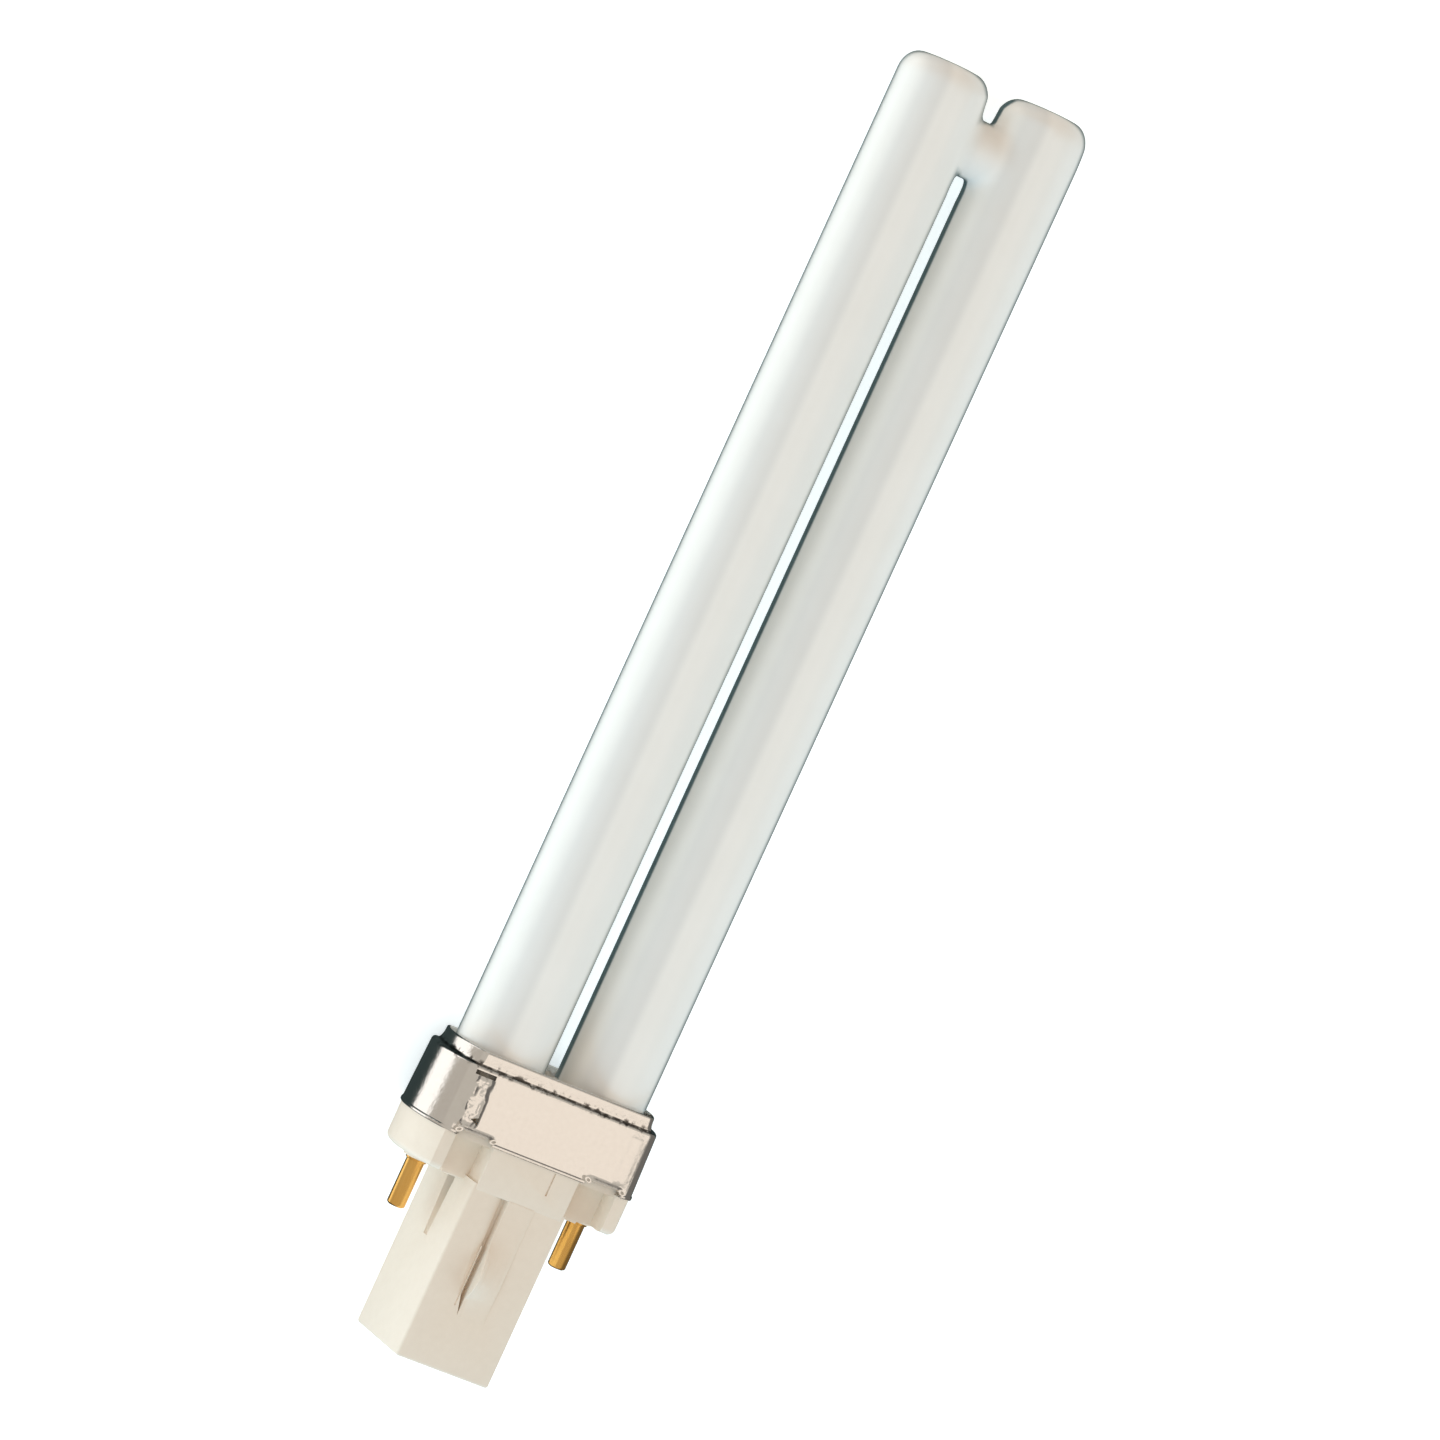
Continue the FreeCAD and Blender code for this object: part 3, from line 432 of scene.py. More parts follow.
scoop_line = [
    (-post_end + scoop_depth * math.sin(math.pi * step / scoop_steps) ** 0.7,
     scoop_middle + scoop_half * math.cos(math.pi * step / scoop_steps))
    for step in range(1, scoop_steps)
]
scoop, scoop_mouth = outlined_block(
    [(-post_end - just_out, scoop_middle + scoop_half), *scoop_line,
     (-post_end - just_out, scoop_middle - scoop_half), (-post_end - well_out, scoop_middle - scoop_half),
     (-post_end - well_out, scoop_middle + scoop_half)], scoop_foot, scoop_top)
scoop_tip = [v for v in scoop.verts if v not in scoop_mouth]
bmesh.ops.scale(scoop, vec=(0.1, 0.5, 1), verts=scoop_tip,
                space=Matrix.Translation(Vector((post_end + 0.05, -scoop_middle, 0)) * mm))
both_ways(scoop)
post = combined(post, "DIFFERENCE", [slot, fall, scoop])

# The latch tongues. Each has a nose that catches the holder. It stands proudest at its left and fades away
# to its right.
tongue_left, tongue_right, tongue_front = -1.34, 2.35, -7.1
nose_start, nose_peak, nose_stop, nose_proud = -5.5, -10.5, -13.2, 1.4
rise_steps, drop_steps = 8, 5
tongue_line = [(-post_end, cut_top), (tongue_front, cut_top), (tongue_front, nose_start)]
for step in range(1, rise_steps + 1):
    share = step / rise_steps
    tongue_line.append((tongue_front - nose_proud * math.sin(math.pi / 2 * share) ** 1.3,
                        nose_start + (nose_peak - nose_start) * share))
for step in range(1, drop_steps + 1):
    share = step / drop_steps
    tongue_line.append((tongue_front - nose_proud * (1 - share ** 1.5),
                        nose_peak + (nose_stop - nose_peak) * share))
tongue_line += [(tongue_front, slot_foot), (-post_end, slot_foot)]
tongue = bmesh.new()
side_wall = tongue.faces.new([tongue.verts.new(Vector((tongue_left, y, z)) * mm) for y, z in tongue_line])
grown = bmesh.ops.extrude_face_region(tongue, geom=[side_wall])["geom"]
moved = [item for item in grown if isinstance(item, bmesh.types.BMVert)]
bmesh.ops.translate(tongue, vec=((tongue_right - tongue_left) * mm, 0, 0), verts=moved)
bmesh.ops.recalc_face_normals(tongue, faces=tongue.faces)
for across in (-0.6, 0.2, 1.0, 1.7):
    bmesh.ops.bisect_plane(
        tongue, geom=tongue.verts[:] + tongue.edges[:] + tongue.faces[:], dist=0.0001 * mm,
        plane_co=Vector((across, 0, 0)) * mm, plane_no=(1, 0, 0),
    )
for v in tongue.verts:
    proud = v.co.y - tongue_front * mm
    if proud < -0.01 * mm:
        share = max(0, (v.co.x / mm - tongue_left) / (tongue_right - tongue_left))
        v.co.y = tongue_front * mm + proud * (1 - 0.9 * share ** 0.8)
round_edges(tongue, 0.12, 2, lambda e: abs(e.verts[0].co.x - e.verts[1].co.x) < 0.001 * mm
            and all(v.co.y < (tongue_front + 0.05) * mm for v in e.verts))
both_ways(tongue)

# All is one moulding. It has a shallow mould mark on its front, hollows for the wires and the starter, and
# pockets behind the collar's pierced dents.
housing = combined(shoulders, "UNION", [centre, platform, bosses, rim, post, tongue])
mark = both_ways(block((2.62, -7.4, 1.75), (2.84, -6.92, 4.7)))
rim_hollow = swept_block(10.9, 13.2, 4.95, 5.85, 9.6, shoulder_steps)
channel = swept_block(10.9, 13.4, 2.5, 1.8, 6.2, shoulder_steps)
post_hollow = block((-5.2, -5.2, -21.3), (5.2, 5.2, 6.1))
dent_pockets = both_ways(block((-11.0, -6.6, 6.2), (-9.2, -5.3, 8.0)))
pin_hole_radius, pin_hole_depth, pin_hole_middle = 1.4, 3.4, 0.6
pin_holes = bmesh.new()
for side in (-1, 1):
    bmesh.ops.create_cone(
        pin_holes, cap_ends=True, segments=32, radius1=pin_hole_radius * mm, radius2=pin_hole_radius * mm,
        depth=pin_hole_depth * mm,
        matrix=Matrix.Translation(Vector((side * pin_spacing / 2, 0, pin_hole_middle)) * mm),
    )
housing = combined(housing, "DIFFERENCE", [mark, rim_hollow, channel, post_hollow, dent_pockets, pin_holes])


def laid_piece(name, bm, material, node):
    """Piece from an upright bmesh: laid down on the frame, riding the lamp, in place of a CAD node."""
    bmesh.ops.transform(bm, matrix=laid, verts=bm.verts)
    mesh = bpy.data.meshes.new(name)
    bm.to_mesh(mesh)
    bm.free()
    mesh.materials.clear()
    mesh.materials.append(material)
    mesh.polygons.foreach_set("use_smooth", [True] * len(mesh.polygons))
    mesh.set_sharp_from_angle(angle=math.radians(32))
    piece = bpy.data.objects.new(name, mesh)
    bpy.context.scene.collection.objects.link(piece)
    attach(piece, "root")
    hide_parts(node)


laid_piece("moulded_housing", housing, cream_moulding, "base_housing")


# Contact pins. Thin brass tube drawn closed and bevelled at its tip, with a thicker root, pushed through the
# floor of the housing from inside until its head stops it.
def spun(bm, outline, place, facets):
    """Closed turned shape: an outline of radius and height from axis to axis, spun round an upright axis."""
    verts = [bm.verts.new((place + r, 0, z)) for r, z in outline]
    edges = [bm.edges.new(pair) for pair in zip(verts, verts[1:])]
    bmesh.ops.spin(
        bm, geom=verts + edges, cent=(place, 0, 0), axis=(0, 0, 1), dvec=(0, 0, 0),
        angle=2 * math.pi, steps=facets, use_merge=True, use_duplicate=False,
    )
    bmesh.ops.remove_doubles(bm, verts=bm.verts, dist=0.001 * mm)
    bmesh.ops.recalc_face_normals(bm, faces=bm.faces)


pin_place = pin_spacing / 2 * mm
pin_radius = 1.15 * mm
pin_root_radius = 1.35 * mm
pin_head_radius = 1.8 * mm
pin_bore_radius = 0.45 * mm
pin_tip_height = -6.8 * mm
pin_wall_height = -6.2 * mm
pin_root_height = -0.8 * mm
pin_floor = 1.8 * mm
pin_top = 2.4 * mm
pin_head_bevel = 0.1 * mm
pin_root_bevel = 0.05 * mm
pin_chamfer = 0.3 * mm
pin_facets = 48
pin_outline = [
    (0, pin_wall_height),
    (pin_bore_radius, pin_wall_height),
    (pin_bore_radius, pin_top),
    (pin_head_radius - pin_head_bevel, pin_top),
    (pin_head_radius, pin_top - pin_head_bevel),
    (pin_head_radius, pin_floor),
    (pin_root_radius, pin_floor),
    (pin_root_radius, pin_root_height + pin_root_bevel),
    (pin_root_radius - pin_root_bevel, pin_root_height),
    (pin_radius, pin_root_height),
    (pin_radius, pin_tip_height + pin_chamfer),
    (pin_radius - 0.08 * mm, pin_tip_height + 0.14 * mm),
    (pin_radius - pin_chamfer, pin_tip_height),
    (0.35 * mm, pin_tip_height),
    (0.25 * mm, pin_tip_height + 0.12 * mm),
    (0, pin_tip_height + 0.15 * mm),
]
pin_brass = mottled(
    "pin_brass", light=(1.0, 0.63, 0.20), dark=(0.94, 0.51, 0.12),
    scale=900, roughness=0.26, bump=0.45, metallic=1.0, stretch=(1, 0.25, 1),
)
for name, side in (("contact_pin_left", -1), ("contact_pin_right", 1)):
    pin = bmesh.new()
    spun(pin, pin_outline, side * pin_place, pin_facets)
    laid_piece("drawn_" + name, pin, pin_brass, name)


# Starter and capacitor. A sealed glow starter and a dipped capacitor hang inside the post on their own
# wires. Nothing else holds them, and the post keeps them in.
def finish_nodes(material, *names):
    """CAD nodes whose shape is right get their procedural finish."""
    for name in names:
        mesh = frame["nodes"][name].data
        mesh.materials.clear()
        mesh.materials.append(material)


starter_glass = mottled(
    "starter_glass", light=(0.80, 0.84, 0.84), dark=(0.70, 0.76, 0.77),
    scale=300, roughness=0.08, bump=0.05,
)
finish_nodes(starter_glass, "starter_bulb")
dipped_coat = mottled(
    "dipped_coat", light=(0.45, 0.20, 0.06), dark=(0.36, 0.15, 0.04),
    scale=900, roughness=0.30, bump=0.4,
)
finish_nodes(dipped_coat, "suppression_capacitor")

# Discharge tube. Two legs of clear glass with white phosphor baked on their inside, drawn closed at their
# tips and joined near them by a short bridge, blown hot from one leg into the other. They have pumping stubs
# at their feet.
leg_radius = 5.85 * mm
leg_place = 7.2 * mm
leg_top = 144.5 * mm
leg_foot = 9.9 * mm
leg_facets = 96
tip_wide = 2.2 * mm
tip_high = 2.8 * mm
tip_zone = 6 * mm
foot_corner = 1.4 * mm
corner_steps = 10
stub_radius = 1.5 * mm
stub_end = 7.3 * mm
stub_chamfer = 0.6 * mm
leg_outline = [(0, leg_top)]
for step in range(corner_steps + 1):
    sweep = math.pi / 2 * (1 - step / corner_steps)
    leg_outline.append((
        leg_radius - tip_wide * (1 - math.cos(sweep)), leg_top - tip_high * (1 - math.sin(sweep)),
    ))
tip_rings, tip_ring_step = range(6, 26), tip_zone / 10
leg_outline += [(leg_radius, leg_top - ring * tip_ring_step) for ring in tip_rings]
for step in range(corner_steps + 1):
    sweep = math.pi / 2 * step / corner_steps
    leg_outline.append((
        leg_radius - foot_corner * (1 - math.cos(sweep)), leg_foot + foot_corner * (1 - math.sin(sweep)),
    ))
leg_outline += [
    (stub_radius, leg_foot), (stub_radius, stub_end + stub_chamfer),
    (stub_radius - stub_chamfer, stub_end), (0, stub_end),
]


def draw_in_tip(bm, place, left, right):
    """The drawn tips aren't quite round: each side of the tip is pulled in by its own amount."""
    for v in bm.verts:
        rise = (v.co.z - leg_top + tip_zone) / tip_zone
        if rise > 0:
            across = (v.co - Vector((place, 0, 0))).dot(view_right) / leg_radius
            v.co -= view_right * across * (right if across > 0 else left) * rise ** 2


legs = []
for side, left, right in ((-1, 0.0, 0.5 * mm), (1, 0.15 * mm, 0.35 * mm)):
    leg = bmesh.new()
    spun(leg, leg_outline, side * leg_place, leg_facets)
    draw_in_tip(leg, side * leg_place, left, right)
    legs.append(leg)

bridge_height = 136.5 * mm
bridge_radius = 3.7 * mm
bridge_flare = 0.9 * mm
bridge_facets = 72
bridge_steps = 14
leg_gap = leg_place - leg_radius
inside_leg = 3.0 * mm
bridge = bmesh.new()
half = [(step / bridge_steps * leg_gap, bridge_radius + bridge_flare * (step / bridge_steps) ** 5)
        for step in range(bridge_steps + 1)]
half += [(leg_gap + 0.4 * mm, bridge_radius + bridge_flare * 0.6), (leg_gap + inside_leg, bridge_radius)]
bridge_line = [(-x, r) for x, r in half[:0:-1]] + half
verts = [bridge.verts.new((bridge_line[0][0], 0, bridge_height))]
verts += [bridge.verts.new((x, 0, bridge_height + r)) for x, r in bridge_line]
verts.append(bridge.verts.new((bridge_line[-1][0], 0, bridge_height)))
edges = [bridge.edges.new(pair) for pair in zip(verts, verts[1:])]
bmesh.ops.spin(
    bridge, geom=verts + edges, cent=(0, 0, bridge_height), axis=(1, 0, 0), dvec=(0, 0, 0),
    angle=2 * math.pi, steps=bridge_facets, use_merge=True, use_duplicate=False,
)
bmesh.ops.remove_doubles(bridge, verts=bridge.verts, dist=0.001 * mm)
for v in bridge.verts:
    surface = leg_place - math.sqrt(leg_radius ** 2 - min(v.co.y ** 2, bridge_radius ** 2 * 1.4))
    reach = abs(v.co.x)
    moved = reach * surface / leg_gap if reach <= leg_gap else reach + surface - leg_gap
    v.co.x = math.copysign(moved, v.co.x)
bmesh.ops.recalc_face_normals(bridge, faces=bridge.faces)
vessel = combined(legs[0], "UNION", [bridge, legs[1]])
blown_high = bridge_radius + 2.2 * mm
blown_wide = leg_place - 1.5 * mm
blown = [v for v in vessel.verts if abs(v.co.z - bridge_height) < blown_high and abs(v.co.x) < blown_wide]
smoothing_rounds = 14
for _ in range(smoothing_rounds):
    bmesh.ops.smooth_vert(vessel, verts=blown, factor=0.5, use_axis_x=True, use_axis_y=True, use_axis_z=True)
coated_glass = mottled(
    "coated_glass", light=(0.92, 0.92, 0.89), dark=(0.87, 0.87, 0.835),
    scale=160, roughness=0.30, bump=0.03,
)
tree = coated_glass.node_tree
shader = tree.nodes["Principled BSDF"]
shader.inputs["Coat Weight"].default_value = 0.25
shader.inputs["Coat Roughness"].default_value = 0.05
coat_colour = shader.inputs["Base Color"].links[0].from_socket


def reckoned(tree, operation, *values):
    """Result of a Math node on sockets and plain numbers."""
    node = tree.nodes.new("ShaderNodeMath")
    node.operation = operation
    for socket, value in zip(node.inputs, values):
        if isinstance(value, bpy.types.NodeSocket):
            tree.links.new(value, socket)
        else:
            socket.default_value = value
    return node.outputs[0]


# A darker streak is painted along the left of each leg's front, as painted shade for the grey band the
# lights leave there.
off_laid = laid.inverted()
on_glass = tree.nodes.new("ShaderNodeTexCoord")
on_lamp = tree.nodes.new("ShaderNodeMapping")
on_lamp.inputs["Location"].default_value = off_laid.translation
on_lamp.inputs["Rotation"].default_value = off_laid.to_euler()
lamp_place = tree.nodes.new("ShaderNodeSeparateXYZ")
tree.links.new(on_glass.outputs["Object"], on_lamp.inputs["Vector"])
tree.links.new(on_lamp.outputs["Vector"], lamp_place.inputs[0])
streak_place = -3.4 * mm
streak_edge, streak_core = 2.0 * mm, 0.7 * mm
from_left_leg = reckoned(tree, "ADD", lamp_place.outputs["X"], leg_place)
on_leg = reckoned(tree, "WRAP", from_left_leg, leg_place, -leg_place)
off_streak = reckoned(tree, "ABSOLUTE", reckoned(tree, "SUBTRACT", on_leg, streak_place))
shaded_streak = ramp(tree, off_streak, streak_edge, streak_core)
glass_colour = mixed(tree, shaded_streak, coat_colour, (0.86, 0.865, 0.875, 1), "MULTIPLY")
# Past the coat's edge only the clear glass wall shows, and its thin dark rim is a painted reflection of dark
# surroundings.
outline = tree.nodes.new("ShaderNodeLayerWeight")
outline.inputs["Blend"].default_value = 0.5
painted_glass_rim = ramp(tree, outline.outputs["Facing"], 0.58, 0.93)
glass_colour = mixed(tree, painted_glass_rim, glass_colour, (0.16, 0.22, 0.22, 1))
# Where the legs face each other, towards the back of their sides, that rim is painted wider and darker, as
# painted shade between the legs.
between_legs = ramp(tree, reckoned(tree, "ABSOLUTE", lamp_place.outputs["X"]), 2.6 * mm, 2.2 * mm)
to_back = ramp(tree, lamp_place.outputs["Y"], -0.8 * mm, 0.1 * mm)
near_outline = ramp(tree, outline.outputs["Facing"], 0.55, 0.64)
painted_gap_shade = reckoned(tree, "MULTIPLY", reckoned(tree, "MULTIPLY", between_legs, to_back), near_outline)
glass_colour = mixed(tree, painted_gap_shade, glass_colour, (0.10, 0.16, 0.17, 1))
tree.links.new(glass_colour, shader.inputs["Base Color"])
laid_piece("glass_vessel", vessel, coated_glass, "discharge_tube")

# Wires and ferrules. Tinned wires come out of the glass; two on each side are crimped with the starter's and
# the capacitor's wires in a brass band, and one runs down into its pin.
tinned_wire = mottled(
    "tinned_wire", light=(0.66, 0.65, 0.63), dark=(0.54, 0.53, 0.51),
    scale=2000, roughness=0.28, bump=0.3, metallic=1.0,
)
finish_nodes(tinned_wire, *[name for name in frame["nodes"] if "_lead_" in name or "_feed_" in name])
ferrule_brass = mottled(
    "ferrule_brass", light=(0.86, 0.62, 0.28), dark=(0.74, 0.50, 0.20),
    scale=900, roughness=0.32, bump=0.4, metallic=1.0,
)
finish_nodes(ferrule_brass, "crimp_ferrule_left", "crimp_ferrule_right")

# Metal collar. A shell drawn from thin aluminium sheet: hem, tapered skirt, ledge and lip. It goes over the
# tube feet and the housing's rim, and is held by panels crimped in beside its ends.
sheet = 0.24
collar_corner, collar_end, collar_depth = 13.05, 15.35, 7.2
collar_foot, ledge_height, lip_top = 4.85, 13.35, 15.15
lip_end, lip_depth = 13.8, 6.45
ledge_bend, lip_bend, plan_bend = 0.35, 0.27, 0.9
bend_steps, plan_bend_steps, end_steps = 5, 6, 12
skirt_top = ledge_height - ledge_bend
skirt_taper = math.radians(2)
skirt_in = -(skirt_top - collar_foot) * math.tan(skirt_taper)
# Each level is how far the shell stands out there and its height. The first six are the rolled hem.
levels = [(0.05, collar_foot), (0.12, 4.93), (0.12, 5.15), (0.05, 5.24), (-0.01, 5.30), (-0.02, 5.40)]
levels.append((skirt_in, skirt_top))
for step in range(1, bend_steps + 1):
    sweep = math.pi / 2 * step / bend_steps
    levels.append((skirt_in - ledge_bend * (1 - math.cos(sweep)), skirt_top + ledge_bend * math.sin(sweep)))


def draw_level(bm, face, inward, rise):
    """The next level of a drawn shell: the face drawn in by one amount and raised by another."""
    bmesh.ops.inset_region(
        bm, faces=[face], thickness=inward * mm, depth=rise * mm, use_boundary=True, use_even_offset=True,
    )


shell = bmesh.new()
foot_proud = levels[0][0]
face = swept_face(shell, collar_corner + foot_proud, collar_end + foot_proud, collar_depth + foot_proud,
                  collar_foot, end_steps)
bmesh.ops.bevel(
    shell, geom=[v for v in shell.verts if abs(v.co.y) > (collar_depth - 0.01) * mm], offset=plan_bend * mm,
    offset_type="OFFSET", segments=plan_bend_steps, profile=0.5, affect="VERTICES", clamp_overlap=True,
    material=-1,
)
face = shell.faces[:][0]
for (proud, height), (next_proud, next_height) in zip(levels, levels[1:]):
    draw_level(shell, face, proud - next_proud, next_height - height)
draw_level(shell, face, 0.03, 0)
# The lip rises from the ledge's inner edge, and its foot flares, most at the two ends.
lip_height = ledge_height
for height, end_flare, side_flare in (
    (13.35, 0.62, 0.07), (13.41, 0.50, 0.03), (13.55, 0.36, 0.0), (13.80, 0.20, 0.0), (14.15, 0.08, 0.0),
    (14.50, 0.02, 0.0), (lip_top - lip_bend, 0.0, 0.0),
):
    draw_level(shell, face, 0.01, height - lip_height)
    lip_height = height
    reach, side = (max(v.co[axis] for v in face.verts) / mm for axis in (0, 1))
    bmesh.ops.scale(
        shell, vec=((lip_end + end_flare) / reach, (lip_depth + side_flare) / side, 1), verts=face.verts,
    )
for step in range(1, bend_steps + 1):
    sweep, last = (math.pi / 2 * s / bend_steps for s in (step, step - 1))
    draw_level(shell, face, lip_bend * (math.cos(last) - math.cos(sweep)),
               lip_bend * (math.sin(sweep) - math.sin(last)))
bmesh.ops.delete(shell, geom=[face], context="FACES")

# Windows are cut out of the hem and skirt over the housing's notches, and a panel is crimped in above each.
# The shell is first divided where the sheet will bend.
crimp_left, crimp_right, crimp_low, crimp_high = 9.5, 12.4, 6.0, 12.5
window_left, window_right, window_top = 6.9, 11.5, 5.6
columns = [6.55, window_left, window_right]
columns += [7.2 + 0.35 * step for step in range(6)]
columns += [crimp_left - 0.29 + 0.2 * step for step in range(17)]
rows = [window_top + 0.12 * step for step in range(6)]
rows += [crimp_low + 0.51 + 0.3 * step for step in range(21)]
for half in (-1, 1):
    for column in columns:
        bmesh.ops.bisect_plane(
            shell, geom=shell.verts[:] + shell.edges[:] + shell.faces[:], dist=0.0001 * mm,
            plane_co=Vector((half * column, 0, 0)) * mm, plane_no=(1, 0, 0),
        )
for row in rows:
    bmesh.ops.bisect_plane(
        shell, geom=shell.verts[:] + shell.edges[:] + shell.faces[:], dist=0.0001 * mm,
        plane_co=Vector((0, 0, row)) * mm, plane_no=(0, 0, 1),
    )


def eased(value, low, high):
    """0 below the first bound, 1 above the second and a smooth rise between them."""
    share = min(max((value - low) / (high - low), 0), 1)
    return share * share * (3 - 2 * share)


# One panel of each long side is crimped deep, which ripples it, and the other is hardly dented. Over a
# window the sheet turns outwards.
deep_crimp, slight_crimp = 0.24, 0.07
middle_ripple, edge_ripple = 0.10, 0.36
window_turn, turn_height = 0.30, 0.55
for v in shell.verts:
    x, y, z = v.co / mm
    if abs(y) > 6 and z < skirt_top:
        reach = abs(x)
        deep = x * y > 0
        panel = eased(z, crimp_low - 0.2, crimp_low + 0.6) * (1 - eased(z, crimp_high - 0.5, crimp_high))
        panel *= 1 - eased(reach, crimp_right - (0.4 if deep else 1.2), crimp_right)
        if deep:
            panel *= eased(reach, crimp_left, crimp_left + 0.3)
            ripple = noise.noise(Vector((x * 1.5, math.copysign(3, y), z * 1.3)))
            edges = eased(abs(reach - (crimp_left + crimp_right) / 2), 0.5, 1.3)
            panel *= deep_crimp + (middle_ripple + edge_ripple * edges) * ripple
        else:
            panel *= slight_crimp * eased(reach, crimp_left, crimp_left + 1.1)
        turned = eased(reach, window_left - 0.3, window_left + 0.5)
        turned -= eased(reach, window_right - 0.5, window_right + 0.3)
        turned *= window_turn * (1 - eased(z, window_top, window_top + turn_height))
        v.co.y += math.copysign((turned - panel) * mm, y)

bmesh.ops.remove_doubles(shell, verts=shell.verts, dist=0.01 * mm)
# The windows' ends lean, so that each window is widest at the hem.
window_middle = 9
for v in shell.verts:
    reach = abs(v.co.x / mm)
    drop = max(0, window_top - v.co.z / mm)
    if abs(v.co.y) > 6 * mm and drop:
        lean = 0.5 * drop if reach > window_middle else -0.5 * drop
        at_end = min(abs(reach - window_left), abs(reach - window_right)) < 0.02
        v.co.x += math.copysign(lean * at_end * mm, v.co.x)
opened = []
for f in shell.faces:
    x, y, z = f.calc_center_median() / mm
    in_window = abs(y) > 6 and z < window_top and window_left - 0.2 < abs(x) < window_right + 0.2
    if in_window and all(window_left - 0.4 < abs(v.co.x) / mm < window_right + 0.4 for v in f.verts):
        opened.append(f)
bmesh.ops.delete(shell, geom=opened, context="FACES")
# The open shell gets its thickness inwards, so its outside keeps the drawn size.
shell_mesh = bpy.data.meshes.new("shell")
shell.to_mesh(shell_mesh)
shell.free()
shell_object = bpy.data.objects.new("shell", shell_mesh)
bpy.context.scene.collection.objects.link(shell_object)
wall = shell_object.modifiers.new("wall", "SOLIDIFY")
wall.thickness = sheet * mm
wall.offset = -1
wall.use_even_offset = True
graph = bpy.context.evaluated_depsgraph_get()
collar = bmesh.new()
collar.from_mesh(shell_object.evaluated_get(graph).to_mesh())
bpy.data.objects.remove(shell_object)
bpy.data.meshes.remove(shell_mesh)

# A slit above the deep crimp, a pierced three-cornered dent below it, and small curled burrs at the ends of
# the windows.
slit = both_ways(block((-12.35, -7.6, 12.3), (-9.55, -6.2, 12.85)))
dent_left, dent_right, dent_low, dent_high, dent_point = -10.6, -9.5, 6.55, 7.65, 7.1
dent, _ = outlined_block(
    [(dent_left, -7.6), (dent_right, -7.6), (dent_right, -6.2), (dent_left, -6.2)], dent_low, dent_high)
for v in dent.verts:
    if v.co.x < (dent_left + dent_right) / 2 * mm:
        v.co.z = dent_point * mm + (v.co.z - dent_point * mm) * 0.06
both_ways(dent)
collar = combined(collar, "DIFFERENCE", [slit, dent])
burr_height = 5.52


def burrs(radius, low, depth):
    """Small flattened rolls that lie across the sheet, one at each end of each window."""
    bm = bmesh.new()
    flattened = Matrix.Diagonal((1.25, 1, 0.7, 1))
    through_sheet = Matrix.Rotation(math.pi / 2, 4, "X")
    for half in (-1, 1):
        tipped = Matrix.Rotation(math.radians(20 * half), 4, "Y")
        for side in (-1, 1):
            for place in (window_left - 0.15, window_right + 0.1):
                middle = Vector((half * place, side * (low + depth / 2), burr_height)) * mm
                bmesh.ops.create_cone(
                    bm, cap_ends=True, segments=20, radius1=radius * mm, radius2=radius * mm,
                    depth=depth * mm,
                    matrix=Matrix.Translation(middle) @ tipped @ flattened @ through_sheet,
                )
    return bm


collar = combined(collar, "UNION", [burrs(0.42, 7.0, 0.62)])
collar = combined(collar, "DIFFERENCE", [burrs(0.24, 7.15, 0.7)])
drawn_aluminium = mottled(
    "drawn_aluminium", light=(0.90, 0.88, 0.85), dark=(0.84, 0.81, 0.77),
    scale=1700, roughness=0.13, bump=0.55, metallic=1.0,
)
tree = drawn_aluminium.node_tree
tree.nodes["Bump"].inputs["Distance"].default_value = 0.045 * mm
shader = tree.nodes["Principled BSDF"]
plain_metal = shader.inputs["Base Color"].links[0].from_socket
# Painted shade in the groove at the lip's foot: a dark line that noise breaks up, with specks round it.
groove = laid @ (Vector((0, -6.6, 13.44)) * mm)
on_collar = tree.nodes.new("ShaderNodeTexCoord")
from_groove = tree.nodes.new("ShaderNodeMapping")
from_groove.inputs["Location"].default_value = -groove
up_lamp = tree.nodes.new("ShaderNodeSeparateXYZ")
specks = tree.nodes.new("ShaderNodeTexNoise")
specks.inputs["Scale"].default_value = 1300
specks.inputs["Detail"].default_value = 3
tree.links.new(on_collar.outputs["Object"], from_groove.inputs["Vector"])
tree.links.new(from_groove.outputs["Vector"], up_lamp.inputs[0])
tree.links.new(on_collar.outputs["Object"], specks.inputs["Vector"])
off_groove = reckoned(tree, "ABSOLUTE", up_lamp.outputs["Y"])
groove_shade = []
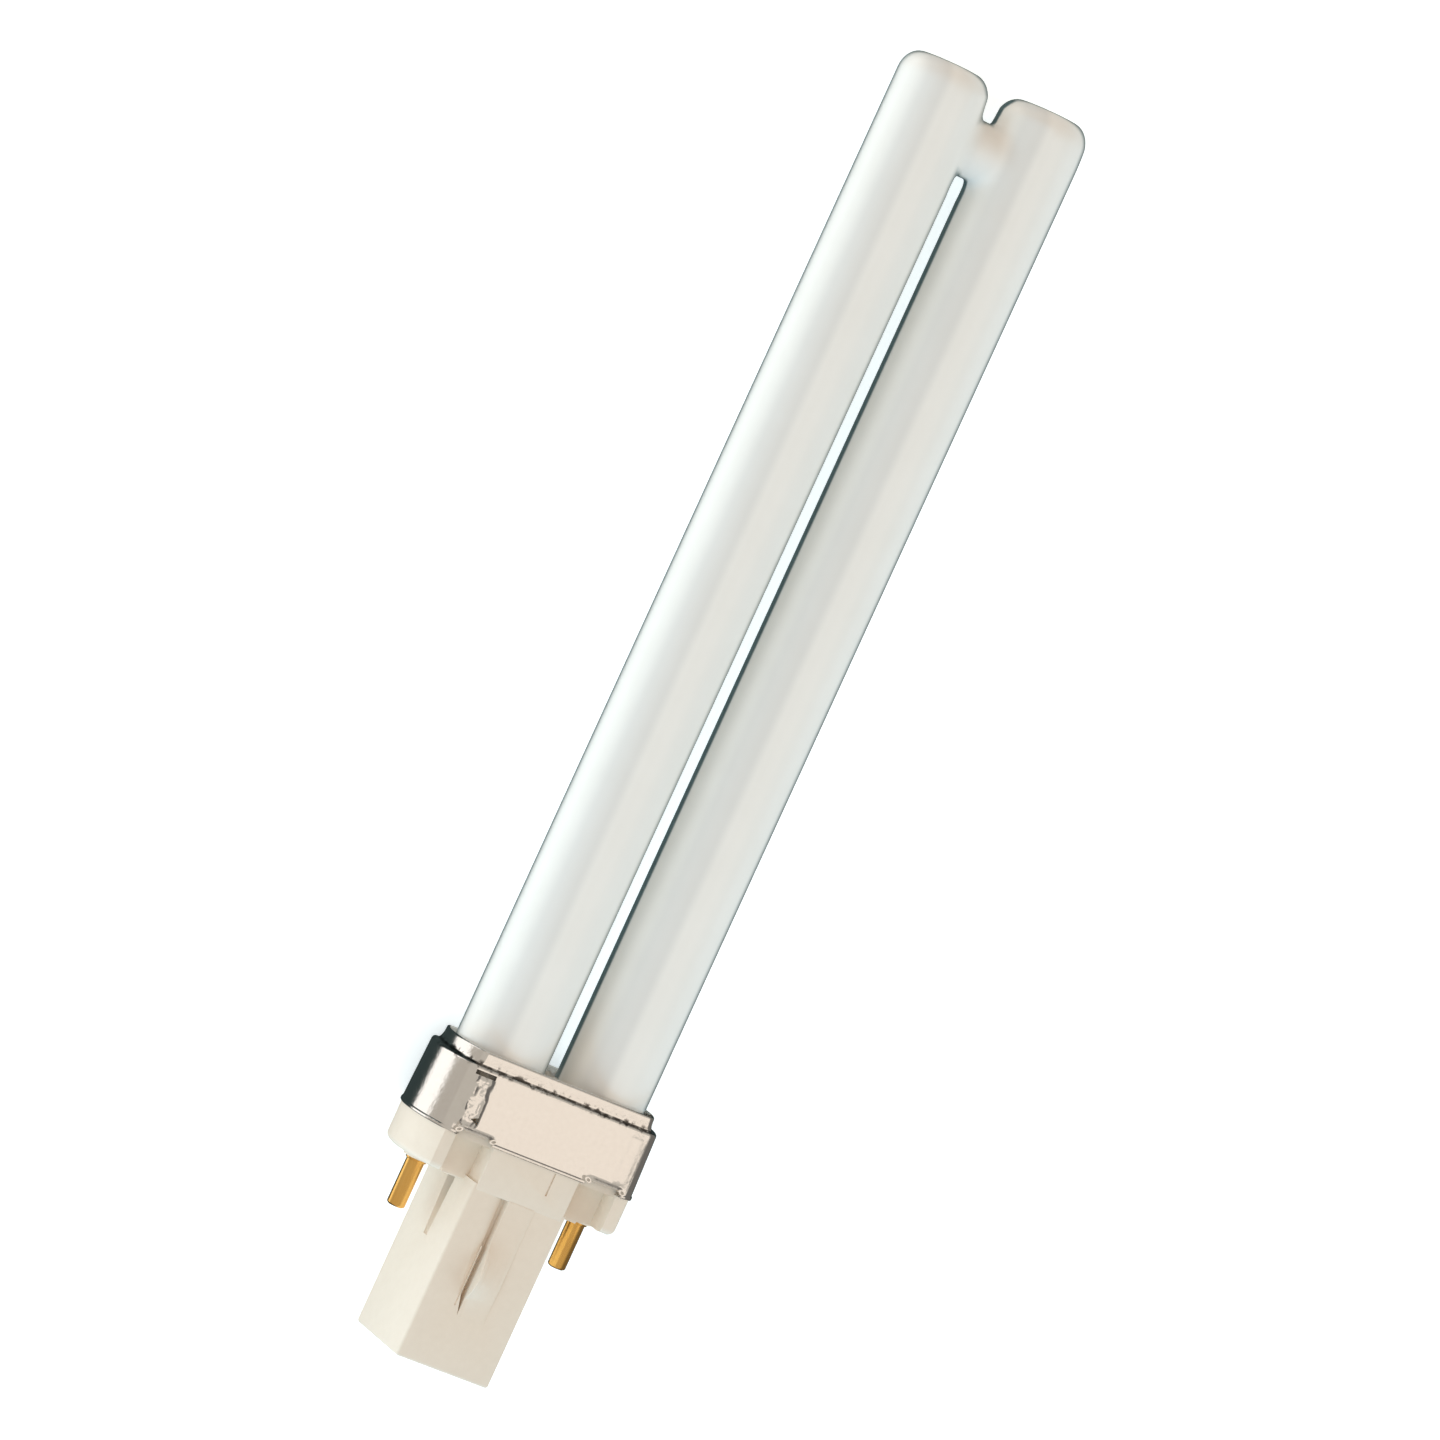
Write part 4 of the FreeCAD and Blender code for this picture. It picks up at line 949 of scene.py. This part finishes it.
for reach, core, fewest, most in ((0.20, 0.08, 0.22, 0.50), (0.70, 0.15, 0.52, 0.64)):
    near = ramp(tree, off_groove, reach * mm, core * mm)
    speckled = tree.nodes.new("ShaderNodeMapRange")
    speckled.inputs["From Min"].default_value = fewest
    speckled.inputs["From Max"].default_value = most
    tree.links.new(specks.outputs["Fac"], speckled.inputs["Value"])
    groove_shade.append(reckoned(tree, "MULTIPLY", near, speckled.outputs["Result"]))
# Mixes the painted groove shade into the metal's colour.
shaded_metal = mixed(tree, reckoned(tree, "MAXIMUM", *groove_shade), plain_metal, (0.10, 0.09, 0.08, 1))
tree.links.new(shaded_metal, shader.inputs["Base Color"])
laid_piece("drawn_collar", collar, drawn_aluminium, "metal_collar")

# Capping cement. White cement poured round the tube feet inside the collar, where it has set a little below
# the lip, uneven and with a few bubbles between the legs.
cement_low, cement_step, cement_top = 10.3, 12.1, 14.45
bubble_reach, bubble_rise, bubble_scale = 3.3, 0.9, 1100
plug = swept_block(12.2, 14.45, 6.35, cement_low, cement_step, end_steps)
throat = swept_block(11.3, 13.15, 5.85, cement_step - 0.2, cement_top, end_steps)
surface_cuts = 25
for step in range(surface_cuts):
    for way, place in (((1, 0, 0), -3 + 0.25 * step), ((0, 1, 0), -5.5 + 0.45 * step)):
        bmesh.ops.bisect_plane(
            throat, geom=throat.verts[:] + throat.edges[:] + throat.faces[:], dist=0.0001 * mm,
            plane_co=Vector(way) * place * mm, plane_no=way,
        )
for v in throat.verts:
    if v.co.z > (cement_top - 0.01) * mm and abs(v.co.x) < bubble_reach * mm:
        v.co.z += bubble_rise * mm * noise.noise(v.co * bubble_scale)
foot_clearance = 0.04 * mm
feet_middle, feet_height = 13 * mm, 8 * mm
feet = bmesh.new()
for side in (-1, 1):
    bmesh.ops.create_cone(
        feet, cap_ends=True, segments=leg_facets, radius1=leg_radius + foot_clearance,
        radius2=leg_radius + foot_clearance, depth=feet_height,
        matrix=Matrix.Translation((side * leg_place, 0, feet_middle)),
    )
cement = combined(plug, "UNION", [throat])
cement = combined(cement, "DIFFERENCE", [feet])
set_cement = mottled(
    "set_cement", light=(0.80, 0.78, 0.73), dark=(0.35, 0.34, 0.32),
    scale=1500, roughness=0.85, bump=1.0,
)
laid_piece("poured_cement", cement, set_cement, "capping_cement")
